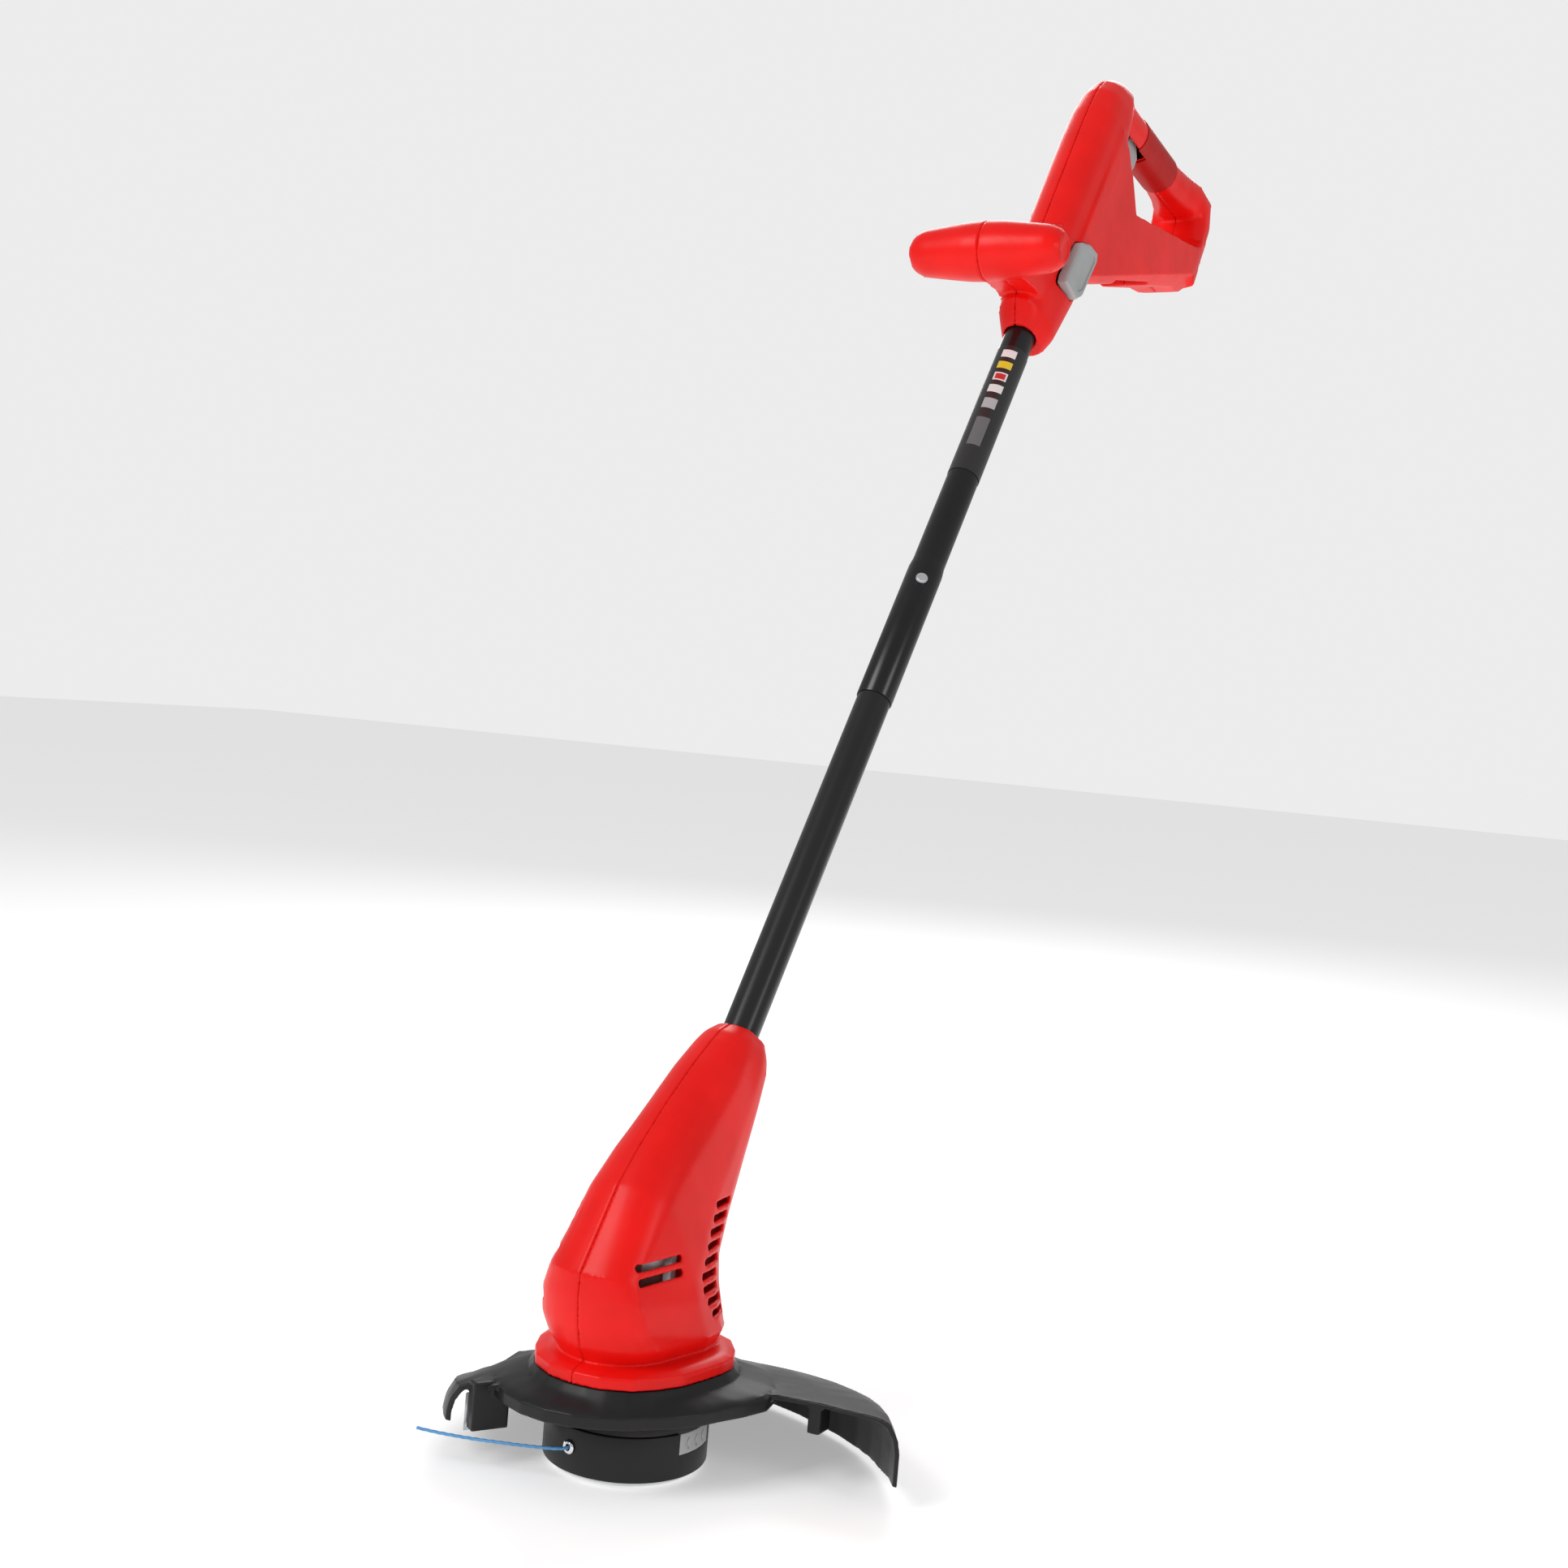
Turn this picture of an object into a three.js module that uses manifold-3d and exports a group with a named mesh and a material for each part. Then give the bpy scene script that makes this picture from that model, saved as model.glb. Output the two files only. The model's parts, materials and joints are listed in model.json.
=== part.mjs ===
// Cordless string trimmer with a turning shaft and a bump-feed line head.
// Millimetres, +Z up. The origin is the centre of the bump knob's flat bottom, on the spool axis.
// -Y is away from the user, +Y towards the user, +X is the side of the shaft release button.
import * as THREE from 'three';
import { mergeVertices } from 'three/addons/utils/BufferGeometryUtils.js';
import Module from 'manifold-3d';

const wasm = await Module();
wasm.setup();

// ---------------------------------------------------------------- driving dimensions
const GAP = 0.3;                 // clearance between pieces that touch
const WALL = 2.5;                // moulded shell wall
const TILT = THREE.MathUtils.degToRad(34.4);
const AXES_CROSS_Z = 103;        // height where the shaft axis meets the spool axis
const TUBE_R = 12;
const TUBE_WALL = 1.3;
const HOUSING_TOP_U = 171.5;     // motor housing's upper face, along the shaft
const LOWER_TUBE_START = 112;
const SOCKET_START = 437.4;      // swaged end of the upper tube
const SOCKET_END = 554;
const HANDLE_U = 791.5;          // handle mouth, along the shaft
const TUBE_IN_HANDLE = 60;
const LABEL_FROM = 644.4;
const LABEL_TO = 770.9;
const SCREW_R = 1.6;
const SCREW_HEAD_R = 3.2;
const SCREW_HEAD_H = 2.4;
const SCREW_LENGTH = 18;
const POST_R = 5.2;
const GRIP_R = 17.5;
const SLEEVE_WALL = 1.6;
const DOCK_HALF_FRONT = 25;
const DOCK_HALF_REAR = 31;
const BARREL_HALF = 61;
const BARREL_R = 22.5;
const TRIGGER_HALF = 7.5;
const COLLAR_BOTTOM = 62.5;
const COLLAR_EDGE = 69;
const COLLAR_TOP = 72;
const COLLAR_SLOPE = 6;
const FLOOR_TOP = 67;
const GUARD_WALL = 2.8;
const GUARD_HUB_TOP = COLLAR_BOTTOM - GAP;
const GUARD_BORE_R = 24;
const COVER_R = 49.1;
const COVER_BOTTOM = 4.4;
const COVER_TOP = 31;
const COVER_WALL = 2.4;
const EYELET_ANGLE = -98.5;
const EYELET_Z = 19.7;
const EYELET_R = 4.2;
const TAB_HALF_ANGLE = 17.6;
const TAB_BOTTOM = 18.5;
const BUMP_TRAVEL = 5;
const LINE_R = 1.0;
const MOTOR_R = 22;
const MOTOR_BOTTOM = 84;
const MOTOR_TOP = 146;
const ARBOR_R = 2.8;
const FAN_R = 30;
const BAY_LENGTH = 84;
const BAY_HALF_WIDTH = 22;
const BAY_DEPTH = 38;
const BAY_DROP = 6;              // the bay block's middle below the bay's own middle
const TERMINAL_HEIGHT = 10;
const TERMINAL_GAP = 0.4;
const BLADE_HEIGHT = 14;

// ---------------------------------------------------------------- solids and meshes
function toSolid(geometry) {
  const bare = geometry.clone();
  bare.deleteAttribute('normal');
  bare.deleteAttribute('uv');
  const merged = mergeVertices(bare, 1e-4);
  const index = merged.index.array;
  const kept = [];
  for (let i = 0; i < index.length; i += 3) {
    const [a, b, c] = [index[i], index[i + 1], index[i + 2]];
    if (a !== b && b !== c && c !== a) kept.push(a, b, c);
  }
  return new wasm.Manifold(new wasm.Mesh({
    numProp: 3,
    vertProperties: new Float32Array(merged.attributes.position.array),
    triVerts: new Uint32Array(kept),
  }));
}

function toGeometry(solid) {
  const { vertProperties, triVerts } = solid.getMesh();
  const geometry = new THREE.BufferGeometry();
  geometry.setAttribute('position', new THREE.BufferAttribute(vertProperties, 3));
  geometry.setIndex(new THREE.BufferAttribute(triVerts, 1));
  geometry.computeVertexNormals();
  return geometry;
}

// A closed body through equal-count rings of Vector3, with flat ends, or joined end to end.
function loft(rings, closed = false) {
  const count = rings[0].length;
  const position = rings.flat().flatMap((p) => [p.x, p.y, p.z]);
  const index = [];
  const last = closed ? rings.length : rings.length - 1;
  for (let i = 0; i < last; i += 1) {
    const lower = i * count;
    const upper = ((i + 1) % rings.length) * count;
    for (let j = 0; j < count; j += 1) {
      const k = (j + 1) % count;
      index.push(lower + j, lower + k, upper + k, lower + j, upper + k, upper + j);
    }
  }
  if (!closed) {
    for (const [ring, start, flip] of [[rings[0], 0, true], [rings.at(-1), last * count, false]]) {
      for (const face of flatCap(ring)) {
        const [a, b, c] = flip ? [face[2], face[1], face[0]] : face;
        index.push(start + a, start + b, start + c);
      }
    }
  }
  const geometry = new THREE.BufferGeometry();
  geometry.setAttribute('position', new THREE.Float32BufferAttribute(position, 3));
  geometry.setIndex(index);
  return outward(geometry);
}

// Triangles over a flat ring, wound the way the ring runs.
function flatCap(ring) {
  const normal = new THREE.Vector3();
  ring.forEach((p, i) => {
    const q = ring[(i + 1) % ring.length];
    normal.add(new THREE.Vector3().crossVectors(p, q));
  });
  normal.normalize();
  const u = new THREE.Vector3(1, 0, 0).cross(normal);
  if (u.lengthSq() < 0.1) u.set(0, 1, 0).cross(normal);
  u.normalize();
  const v = new THREE.Vector3().crossVectors(normal, u);
  const flat = ring.map((p) => new THREE.Vector2(p.dot(u), p.dot(v)));
  return THREE.ShapeUtils.triangulateShape(flat, []);
}

function signedVolume(geometry) {
  const p = geometry.attributes.position;
  const index = geometry.index.array;
  const at = (i) => new THREE.Vector3().fromBufferAttribute(p, index[i]);
  let volume = 0;
  for (let i = 0; i < index.length; i += 3) volume += at(i).dot(at(i + 1).cross(at(i + 2)));
  return volume;
}

function outward(geometry) {
  if (signedVolume(geometry) < 0) geometry.setIndex(Array.from(geometry.index.array).reverse());
  return geometry;
}

// A turned body about Z. The profile is a list of [radius, z]; it closes on itself or on the axis.
function turned(profile, segments = 32) {
  const onAxis = profile[0][0] === 0 && profile.at(-1)[0] === 0;
  const points = profile.map(([r, z]) => new THREE.Vector2(r, z));
  if (!onAxis) points.push(points[0].clone());
  const geometry = new THREE.LatheGeometry(points, segments);
  geometry.rotateX(Math.PI / 2);
  return toSolid(outward(geometry));
}

function ringSolid(inner, outer, from, to, segments = 32) {
  return turned([[inner, from], [outer, from], [outer, to], [inner, to]], segments);
}

function disc(radius, from, to, segments = 32) {
  return turned([[0, from], [radius, from], [radius, to], [0, to]], segments);
}

function block(x0, x1, y0, y1, z0, z1) {
  const geometry = new THREE.BoxGeometry(x1 - x0, y1 - y0, z1 - z0);
  geometry.translate((x0 + x1) / 2, (y0 + y1) / 2, (z0 + z1) / 2);
  return toSolid(geometry);
}

// An outline of [a, b] points in the plane across X, extruded from x0 to x1.
function slab(outline, x0, x1) {
  const rings = [x0, x1].map((x) => outline.map(([a, b]) => new THREE.Vector3(x, a, b)));
  return toSolid(loft(rings));
}

function apply(solid, matrix) {
  return toSolid(toGeometry(solid).applyMatrix4(matrix));
}

function moved(solid, x, y, z) {
  return apply(solid, new THREE.Matrix4().makeTranslation(x, y, z));
}

const ALONG_X = new THREE.Matrix4().makeRotationY(Math.PI / 2);

// A round bar along X through the point (a, b) of the plane across X.
function barX(radius, x0, x1, a, b, segments = 12) {
  return moved(apply(disc(radius, x0, x1, segments), ALONG_X), 0, a, b);
}

function boxTurned(size, centre, angle) {
  const geometry = new THREE.BoxGeometry(...size);
  geometry.rotateX(angle);
  geometry.translate(...centre);
  return toSolid(geometry);
}

// One side of a body split on the plane x = 0.
function half(solid, side) {
  const edge = GAP / 2;
  const keep = side > 0 ? block(edge, 300, -900, 900, -900, 900) : block(-300, -edge, -900, 900, -900, 900);
  return solid.intersect(keep);
}

function union(solids) {
  return solids.reduce((sum, solid) => sum.add(solid));
}

// ---------------------------------------------------------------- finishes and node placing
const FINISH = {
  red: { color: 0xd8140e, roughness: 0.32, metalness: 0 },
  darkRed: { color: 0xb8120e, roughness: 0.5, metalness: 0 },
  black: { color: 0x1c1d1f, roughness: 0.5, metalness: 0 },
  grey: { color: 0xa9abad, roughness: 0.45, metalness: 0 },
  steel: { color: 0xb9bcc0, roughness: 0.3, metalness: 1 },
  tube: { color: 0x121314, roughness: 0.25, metalness: 0.4 },
  copper: { color: 0xb8733a, roughness: 0.35, metalness: 1 },
  line: { color: 0x3f86c6, roughness: 0.4, metalness: 0 },
  label: { color: 0xe8e8e8, roughness: 0.5, metalness: 0 },
};

const trimmer = new THREE.Group();
const shaftFrame = new THREE.Group();
shaftFrame.position.set(0, 0, AXES_CROSS_Z);
shaftFrame.rotation.x = -TILT;
trimmer.add(shaftFrame);
const handleFrame = new THREE.Group();
handleFrame.position.set(0, 0, HANDLE_U);
shaftFrame.add(handleFrame);

function node(parent, name, solid, finish) {
  const mesh = new THREE.Mesh(toGeometry(solid), new THREE.MeshStandardMaterial(FINISH[finish]));
  mesh.name = name;
  parent.add(mesh);
}

// A point given behind the shaft axis (b) and along it (u), as [y, z] of the head.
function headPoint(b, u) {
  const y = b * Math.cos(TILT) + u * Math.sin(TILT);
  const z = AXES_CROSS_Z - b * Math.sin(TILT) + u * Math.cos(TILT);
  return [y, z];
}

// ---------------------------------------------------------------- fasteners
// A pan head screw along X, its head on the -X side; x is the seat of the head.
function sideScrew(x, a, b) {
  const head = barX(SCREW_HEAD_R, x - SCREW_HEAD_H, x, a, b, 10);
  const slot = block(x - SCREW_HEAD_H - 1, x - SCREW_HEAD_H + 0.9, a - 0.4, a + 0.4, b - 2.2, b + 2.2);
  return head.add(barX(SCREW_R, x - 0.5, x + SCREW_LENGTH, a, b, 8)).subtract(slot);
}

const SEAT_X = -8;
const screwPost = (x0, x1, a, b) => barX(POST_R, x0, x1, a, b, 10);
const screwBore = (a, b) => barX(SCREW_R + GAP + 0.1, SEAT_X - 1, SEAT_X + SCREW_LENGTH + 1, a, b, 8);
const screwWell = (a, b) => barX(SCREW_HEAD_R + 0.6, -60, SEAT_X, a, b, 10);

// Posts joined to a hollow shell, trimmed to its outer form, with bores and head wells cut.
function withPosts(shell, outer, places, reach) {
  const posts = union(places.map(([a, b]) => screwPost(-reach, reach, a, b))).intersect(outer);
  const cuts = union(places.flatMap(([a, b]) => [screwBore(a, b), screwWell(a, b)]));
  return shell.add(posts).subtract(cuts);
}

// ---------------------------------------------------------------- motor housing
// Half section: an arc from the front to the crease, a flat side, a full corner to the back.
function sectionPoints({ front, back, half: a, crease }, inset = 0) {
  const steps = inset > 0 ? 3 : 5;
  const f = front - inset;
  const r = back + inset;
  const w = a - inset;
  const cx = crease[0] - inset * 0.8;
  const cv = crease[1];
  const side = (cv + r) / 2;
  const end = THREE.MathUtils.degToRad(72);
  const points = [];
  for (let i = 0; i <= steps; i += 1) {
    const t = (end * i) / steps;
    const drop = (Math.cos(t) - Math.cos(end)) / (1 - Math.cos(end));
    points.push([(cx * Math.sin(t)) / Math.sin(end), cv + (f - cv) * drop]);
  }
  for (let i = 0; i <= steps; i += 1) {
    const t = (Math.PI / 2) * (i / steps);
    const power = 2 / 2.8;
    points.push([w * Math.cos(t) ** power, side - (side - r) * Math.sin(t) ** power]);
  }
  const mirrored = points.slice(1, -1).reverse().map(([x, v]) => [-x, v]);
  points.at(-1)[0] = 0;
  return [...points, ...mirrored];
}

// A section standing on the line from a front point to a back point of the plane x = 0.
function housingRing({ front, back, half: a, crease }, inset) {
  const length = Math.hypot(front[0] - back[0], front[1] - back[1]);
  const step = [(front[0] - back[0]) / length, (front[1] - back[1]) / length];
  const sizes = { front: length, back: 0, half: a, crease: [crease[0], length - crease[1]] };
  return sectionPoints(sizes, inset).map(([x, v]) => (
    new THREE.Vector3(x, back[0] + step[0] * v, back[1] + step[1] * v)));
}

const acrossShaft = (u, front, back, a, crease) => (
  { front: headPoint(-front, u), back: headPoint(back, u), half: a, crease });

// crease: its half-width, and how far it lies behind the front
const HOUSING_STATIONS = [
  acrossShaft(HOUSING_TOP_U, 15.6, 15.6, 15.6, [13.5, 7.5]),
  acrossShaft(163, 23.5, 20.5, 20, [17.5, 11]),
  acrossShaft(154, 28.3, 23.3, 22.6, [20, 14]),
  acrossShaft(131.5, 38.2, 26.5, 25, [23.6, 19.5]),
  acrossShaft(98.5, 49.9, 31, 27.6, [25, 22]),
  acrossShaft(65.5, 59, 35, 30.8, [27, 19]),
  acrossShaft(39.5, 64, 39, 34, [28.5, 17]),
  { front: [-62.5, 126], back: [53.8, 104], half: 39.4, crease: [30, 13] },
  { front: [-63.2, 112], back: [53.6, 96], half: 42, crease: [34, 14] },
  { front: [-61, 95], back: [53.5, 88], half: 44, crease: [37, 17] },
  { front: [-57.5, 81.5], back: [53, 81], half: 45.5, crease: [38, 25] },
  { front: [-53, 75], back: [50.5, 75], half: 43, crease: [35, 26] },
  { front: [-51, 71], back: [48.5, 71], half: 41, crease: [33, 26] },
];

const COLLAR_PLAN = [
  [0, -63], [17, -60.5], [34, -51], [44, -38], [51, -24], [55, -6], [57.5, 10], [57, 22], [50.5, 35],
  [40, 48], [22, 55.5], [0, 57.5],
];

function fullPlan(halfPlan) {
  const mirrored = halfPlan.slice(1, -1).reverse().map(([x, y]) => [-x, y]);
  return [...halfPlan, ...mirrored];
}

function planRing(plan, z, inset) {
  return fullPlan(plan).map(([x, y]) => {
    const length = Math.hypot(x, y);
    const scale = (length - inset) / length;
    return new THREE.Vector3(x * scale, y * scale, z);
  });
}

const LOUVRES = 9;
const LOUVRE_FRONT = [[157, 34], [141, 26], [115, 10], [106, 10], [81, 25]];

function alongTable(table, at) {
  const rows = [...table].sort((p, q) => p[0] - q[0]);
  const next = rows.findIndex(([key]) => key >= at);
  if (next === 0) return rows[0][1];
  if (next < 0) return rows.at(-1)[1];
  const [k0, v0] = rows[next - 1];
  const [k1, v1] = rows[next];
  return v0 + ((v1 - v0) * (at - k0)) / (k1 - k0);
}

// Rounded slots through the side walls: a louvre band at the rear and two by the crease.
function ventCuts() {
  const cuts = [];
  for (let i = 0; i < LOUVRES; i += 1) {
    const z = 153 - i * 7.6;
    const from = alongTable(LOUVRE_FRONT, z);
    for (const side of [-1, 1]) {
      const [x0, x1] = side > 0 ? [18, 60] : [-60, -18];
      cuts.push(block(x0, x1, from, from + 20, z - 2, z + 2));
    }
  }
  for (const z of [130.5, 122.5]) {
    for (const side of [-1, 1]) {
      const [x0, x1] = side > 0 ? [24, 60] : [-60, -24];
      cuts.push(block(x0, x1, -47, -9, z - 2, z + 2));
    }
  }
  return union(cuts);
}

const HOUSING_SCREWS = [headPoint(-28, 104), headPoint(21, 118), [-48, 104], [43, 93]];

function motorHousing() {
  const outer = toSolid(loft(HOUSING_STATIONS.map((station) => housingRing(station, 0))));
  const neck = HOUSING_STATIONS.at(-1);
  const neckFoot = { ...neck, front: [neck.front[0], FLOOR_TOP], back: [neck.back[0], FLOOR_TOP] };
  const hollowStations = [...HOUSING_STATIONS.slice(2), neckFoot];
  const hollow = toSolid(loft(hollowStations.map((station) => housingRing(station, WALL))));
  const collar = toSolid(loft([
    planRing(COLLAR_PLAN, COLLAR_BOTTOM, 0),
    planRing(COLLAR_PLAN, COLLAR_EDGE, 0),
    planRing(COLLAR_PLAN, COLLAR_TOP, COLLAR_SLOPE),
  ]));
  const hull = outer.add(collar);
  const openFloor = toSolid(loft([
    planRing(COLLAR_PLAN, FLOOR_TOP, WALL + 0.5),
    planRing(COLLAR_PLAN, COLLAR_TOP - WALL - 0.5, COLLAR_SLOPE + WALL + 0.5),
  ]));
  let shell = hull.subtract(hollow).subtract(openFloor.intersect(hull));
  shell = withPosts(shell, hull, HOUSING_SCREWS, 45);
  const socket = ringSolid(TUBE_R, TUBE_R + 4, 104, 164, 16);
  shell = shell.add(toHead(socket).intersect(hull));
  const tubeBore = toHead(disc(TUBE_R + GAP, LOWER_TUBE_START - GAP, HOUSING_TOP_U + 20, 24));
  const socketPassage = toHead(disc(TUBE_R - 3, 90, LOWER_TUBE_START, 12));
  const motorRoom = disc(MOTOR_R + 1, MOTOR_BOTTOM - 4, MOTOR_TOP + 8, 16);
  shell = shell.subtract(tubeBore).subtract(socketPassage).subtract(motorRoom);
  shell = shell.subtract(disc(14, COLLAR_BOTTOM - 2, FLOOR_TOP + 2, 16));
  shell = shell.subtract(ventCuts());
  shell = shell.subtract(union(GUARD_SCREWS.map(([x, y]) => (
    moved(disc(SCREW_R + GAP, COLLAR_BOTTOM - 2, FLOOR_TOP + GAP, 10), x, y, 0)))));
  // a finger recess on the -X shell
  const recess = boxTurned([16, 12, 14], [-36, -54, 142], 0.4);
  return shell.subtract(recess.subtract(moved(recess, 7, 3.5, 0)));
}

const HEAD_FROM_SHAFT = new THREE.Matrix4().makeRotationX(-TILT).setPosition(0, 0, AXES_CROSS_Z);

// From the shaft's frame to the head's frame.
function toHead(solid) {
  return apply(solid, HEAD_FROM_SHAFT);
}

// ---------------------------------------------------------------- guard
const GUARD_SCREWS = [[-36, -22], [36, -22], [-38, 30], [38, 30]];
// degrees from +X, radius of the raised rim, height of its top
const RIM_TABLE = [
  [-155, 82, 49.5], [-130, 83, 52], [-108, 82, 52], [-90, 79, 52], [-70, 73, 52], [-44, 68, 52],
  [-6, 72, 52], [18, 88, 52], [45, 88, 51], [60, 86, 49], [80, 85, 43], [120, 84, 37],
  [164, 84, 34], [181, 83, 37], [190, 80, 42], [199, 78, 46.5], [205, 82, 49.5], [230, 83, 52],
];
// degrees, outer radius, height of the shoulder, lowest edge
const DEFLECTOR = [
  [4, 169, 52, 17], [12, 167, 51, 15], [27, 156, 47, 7], [45, 147, 40, 3.5], [60, 139, 36, 3.5],
  [75, 136, 31, 3.5], [90, 134.5, 28, 3.5], [120, 133.5, 26, 3.5], [147, 133, 25, 5],
  [156, 132.5, 25.5, 21.5], [164, 122, 25.5, 21.5], [180, 115, 28, 21.5], [195, 112, 35, 22],
  [210, 110, 42, 23], [222, 108, 47, 24], [234, 106, 49, 26],
];

// The value in a column of a table whose first column is the angle.
function tableAt(table, column, degrees) {
  return alongTable(table.map((row) => [row[0], row[column]]), degrees);
}

function polar(radius, degrees, z) {
  const angle = THREE.MathUtils.degToRad(degrees);
  return new THREE.Vector3(radius * Math.cos(angle), radius * Math.sin(angle), z);
}

function collarRadius(degrees) {
  const plan = fullPlan(COLLAR_PLAN);
  const direction = polar(1, degrees, 0);
  for (let i = 0; i < plan.length; i += 1) {
    const [ax, ay] = plan[i];
    const [bx, by] = plan[(i + 1) % plan.length];
    const cross = (px, py) => direction.x * py - direction.y * px;
    const [ca, cb] = [cross(ax, ay), cross(bx, by)];
    if (ca * cb <= 0 && ca !== cb) {
      const t = ca / (ca - cb);
      const [px, py] = [ax + (bx - ax) * t, ay + (by - ay) * t];
      if (px * direction.x + py * direction.y > 0) return Math.hypot(px, py);
    }
  }
  return 60;
}

const RIM_TOP = 52;
const RIM_BOTTOM = 43;

// The hub plate under the collar, with its sloping deck and the rim wall around it.
function guardPlate() {
  const rings = [];
  for (let degrees = -130; degrees < 230; degrees += 12) {
    const rim = tableAt(RIM_TABLE, 1, degrees);
    const top = tableAt(RIM_TABLE, 2, degrees);
    const bottom = Math.min(RIM_BOTTOM, top - 6);
    const foot = collarRadius(degrees);
    rings.push([
      [GUARD_BORE_R, GUARD_HUB_TOP], [foot, GUARD_HUB_TOP], [foot + 1.5, 60], [foot + 3.5, 57.2],
      [rim - 2.5, top + 0.4], [rim, top - 1.5], [rim, bottom], [rim - GUARD_WALL, bottom],
      [rim - GUARD_WALL - 2, top - 3.5], [foot + 1, 54.6], [GUARD_BORE_R, 54.6],
    ].map(([r, z]) => polar(r, degrees, z)));
  }
  return toSolid(loft(rings, true));
}

// The curved deflector behind the line, its skirt deepest at the back.
function deflector() {
  const rings = [];
  for (let degrees = 4; degrees <= 236; degrees += 8) {
    const outer = tableAt(DEFLECTOR, 1, degrees);
    const shoulder = tableAt(DEFLECTOR, 2, degrees);
    const edge = tableAt(DEFLECTOR, 3, degrees);
    const root = tableAt(RIM_TABLE, 1, degrees) - 2;
    const deck = tableAt(RIM_TABLE, 2, degrees) - 0.4;
    const middle = (root + outer - 13) / 2;
    const middleZ = (deck + shoulder + 1.5) / 2 + 0.8;
    const bend = Math.max(shoulder - 17, edge + 1.2);
    const upperBend = Math.max(shoulder - 9, bend + 0.6);
    rings.push([
      [root, deck], [middle, middleZ], [outer - 13, shoulder + 1.5], [outer - 6, shoulder - 1],
      [outer - 1.5, upperBend], [outer, bend], [outer, edge], [outer - GUARD_WALL, edge],
      [outer - GUARD_WALL, bend - 0.6], [outer - 1.5 - GUARD_WALL, upperBend - 0.8],
      [outer - 8, Math.max(shoulder - 3.9, edge)], [outer - 14, Math.max(shoulder - 1.6, edge + 0.1)],
      [middle - 1, middleZ - 3], [root, deck - 3.4],
    ].map(([r, z]) => polar(r, degrees, z)));
  }
  return toSolid(loft(rings));
}

// A block standing between z0 and z1 over a four-cornered plan.
function pillar(plan, z0, z1) {
  return toSolid(loft([z0, z1].map((z) => plan.map(([x, y]) => new THREE.Vector3(x, y, z)))));
}

const BLADE_FROM = [-66, -70];
const BLADE_TO = [-58.5, -57.5];
const BLADE_Z = [20.5, 42.5];
const BLADE_THICKNESS = 1.2;
const BLADE_DIRECTION = Math.atan2(BLADE_TO[1] - BLADE_FROM[1], BLADE_TO[0] - BLADE_FROM[0]);
const BLADE_LENGTH = Math.hypot(BLADE_TO[0] - BLADE_FROM[0], BLADE_TO[1] - BLADE_FROM[1]) + 8;
const BLADE_SCREW_Z = [27, 37];

// From the blade's own frame (x along it, y across it) to its place on the guard.
const BLADE_FRAME = new THREE.Matrix4().makeRotationZ(BLADE_DIRECTION)
  .setPosition(BLADE_FROM[0], BLADE_FROM[1], 0);

const BLADE_SCREW_ALONG = BLADE_LENGTH * 0.55;
const ACROSS_BLADE = new THREE.Matrix4().makeRotationX(-Math.PI / 2);

function bladeScrewBar(radius, y0, y1, z) {
  const bar = apply(disc(radius, y0, y1, 10), ACROSS_BLADE);
  return apply(moved(bar, BLADE_SCREW_ALONG, 0, z), BLADE_FRAME);
}

function guard() {
  const blocker = (plan) => pillar(plan, -20, 80);
  const wings = deflector()
    .subtract(blocker([
      [60, -60], [240, -60], [240, 38], [163, 35], [140, 35.5], [99, 31], [84, 28.5], [60, 10],
    ]))
    .subtract(blocker([[-50, -60], [-69, -73], [-82, -74.5], [-160, -90], [-50, -160]]));
  const ribPlan = [[0, -GAP], [0, -9], [BLADE_LENGTH, -9], [BLADE_LENGTH, -GAP]];
  const rib = apply(pillar(ribPlan, BLADE_Z[0] + 2, RIM_TOP - 1), BLADE_FRAME);
  const wingRib = pillar([[104, 31.5], [112, 32.5], [112, 46], [104, 46]], 33, 50.5);
  let body = guardPlate().add(wings).add(rib).add(wingRib);
  for (const [x, y] of GUARD_SCREWS) {
    body = body.subtract(moved(disc(SCREW_R + GAP, 50, 66, 10), x, y, 0));
  }
  for (const z of BLADE_SCREW_Z) body = body.subtract(bladeScrewBar(SCREW_R + GAP, -8, 2, z));
  return body;
}

function cutOffBlade() {
  const outline = [
    [0, BLADE_Z[0]], [BLADE_LENGTH, BLADE_Z[0]], [BLADE_LENGTH, BLADE_Z[1]], [0, BLADE_Z[1]],
  ];
  const rings = [0, BLADE_THICKNESS].map((y) => outline.map(([x, z]) => (
    new THREE.Vector3(y === 0 && x === 0 ? -1.5 : x, y, z))));
  let blade = apply(toSolid(loft(rings)), BLADE_FRAME);
  for (const z of BLADE_SCREW_Z) blade = blade.subtract(bladeScrewBar(SCREW_R + GAP, -2, 3, z));
  return blade;
}

function bladeScrew(z) {
  const seat = BLADE_THICKNESS + GAP;
  return bladeScrewBar(SCREW_R, -7, seat + 0.5, z).add(bladeScrewBar(SCREW_HEAD_R, seat, seat + 2, z));
}

function guardScrew(x, y) {
  const seat = 54.6 - GAP;
  const shank = disc(SCREW_R, seat - 0.5, FLOOR_TOP - 1, 8);
  return moved(shank.add(disc(SCREW_HEAD_R, seat - SCREW_HEAD_H, seat, 12)), x, y, 0);
}

// ---------------------------------------------------------------- line head
function sector(inner, outer, z0, z1, from, to, steps = 8) {
  const plan = [];
  for (let i = 0; i <= steps; i += 1) plan.push(polar(outer, from + ((to - from) * i) / steps, 0));
  for (let i = steps; i >= 0; i -= 1) plan.push(polar(inner, from + ((to - from) * i) / steps, 0));
  return pillar(plan.map((p) => [p.x, p.y]), z0, z1);
}

const TAB_ANGLES = [0, 180];

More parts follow.
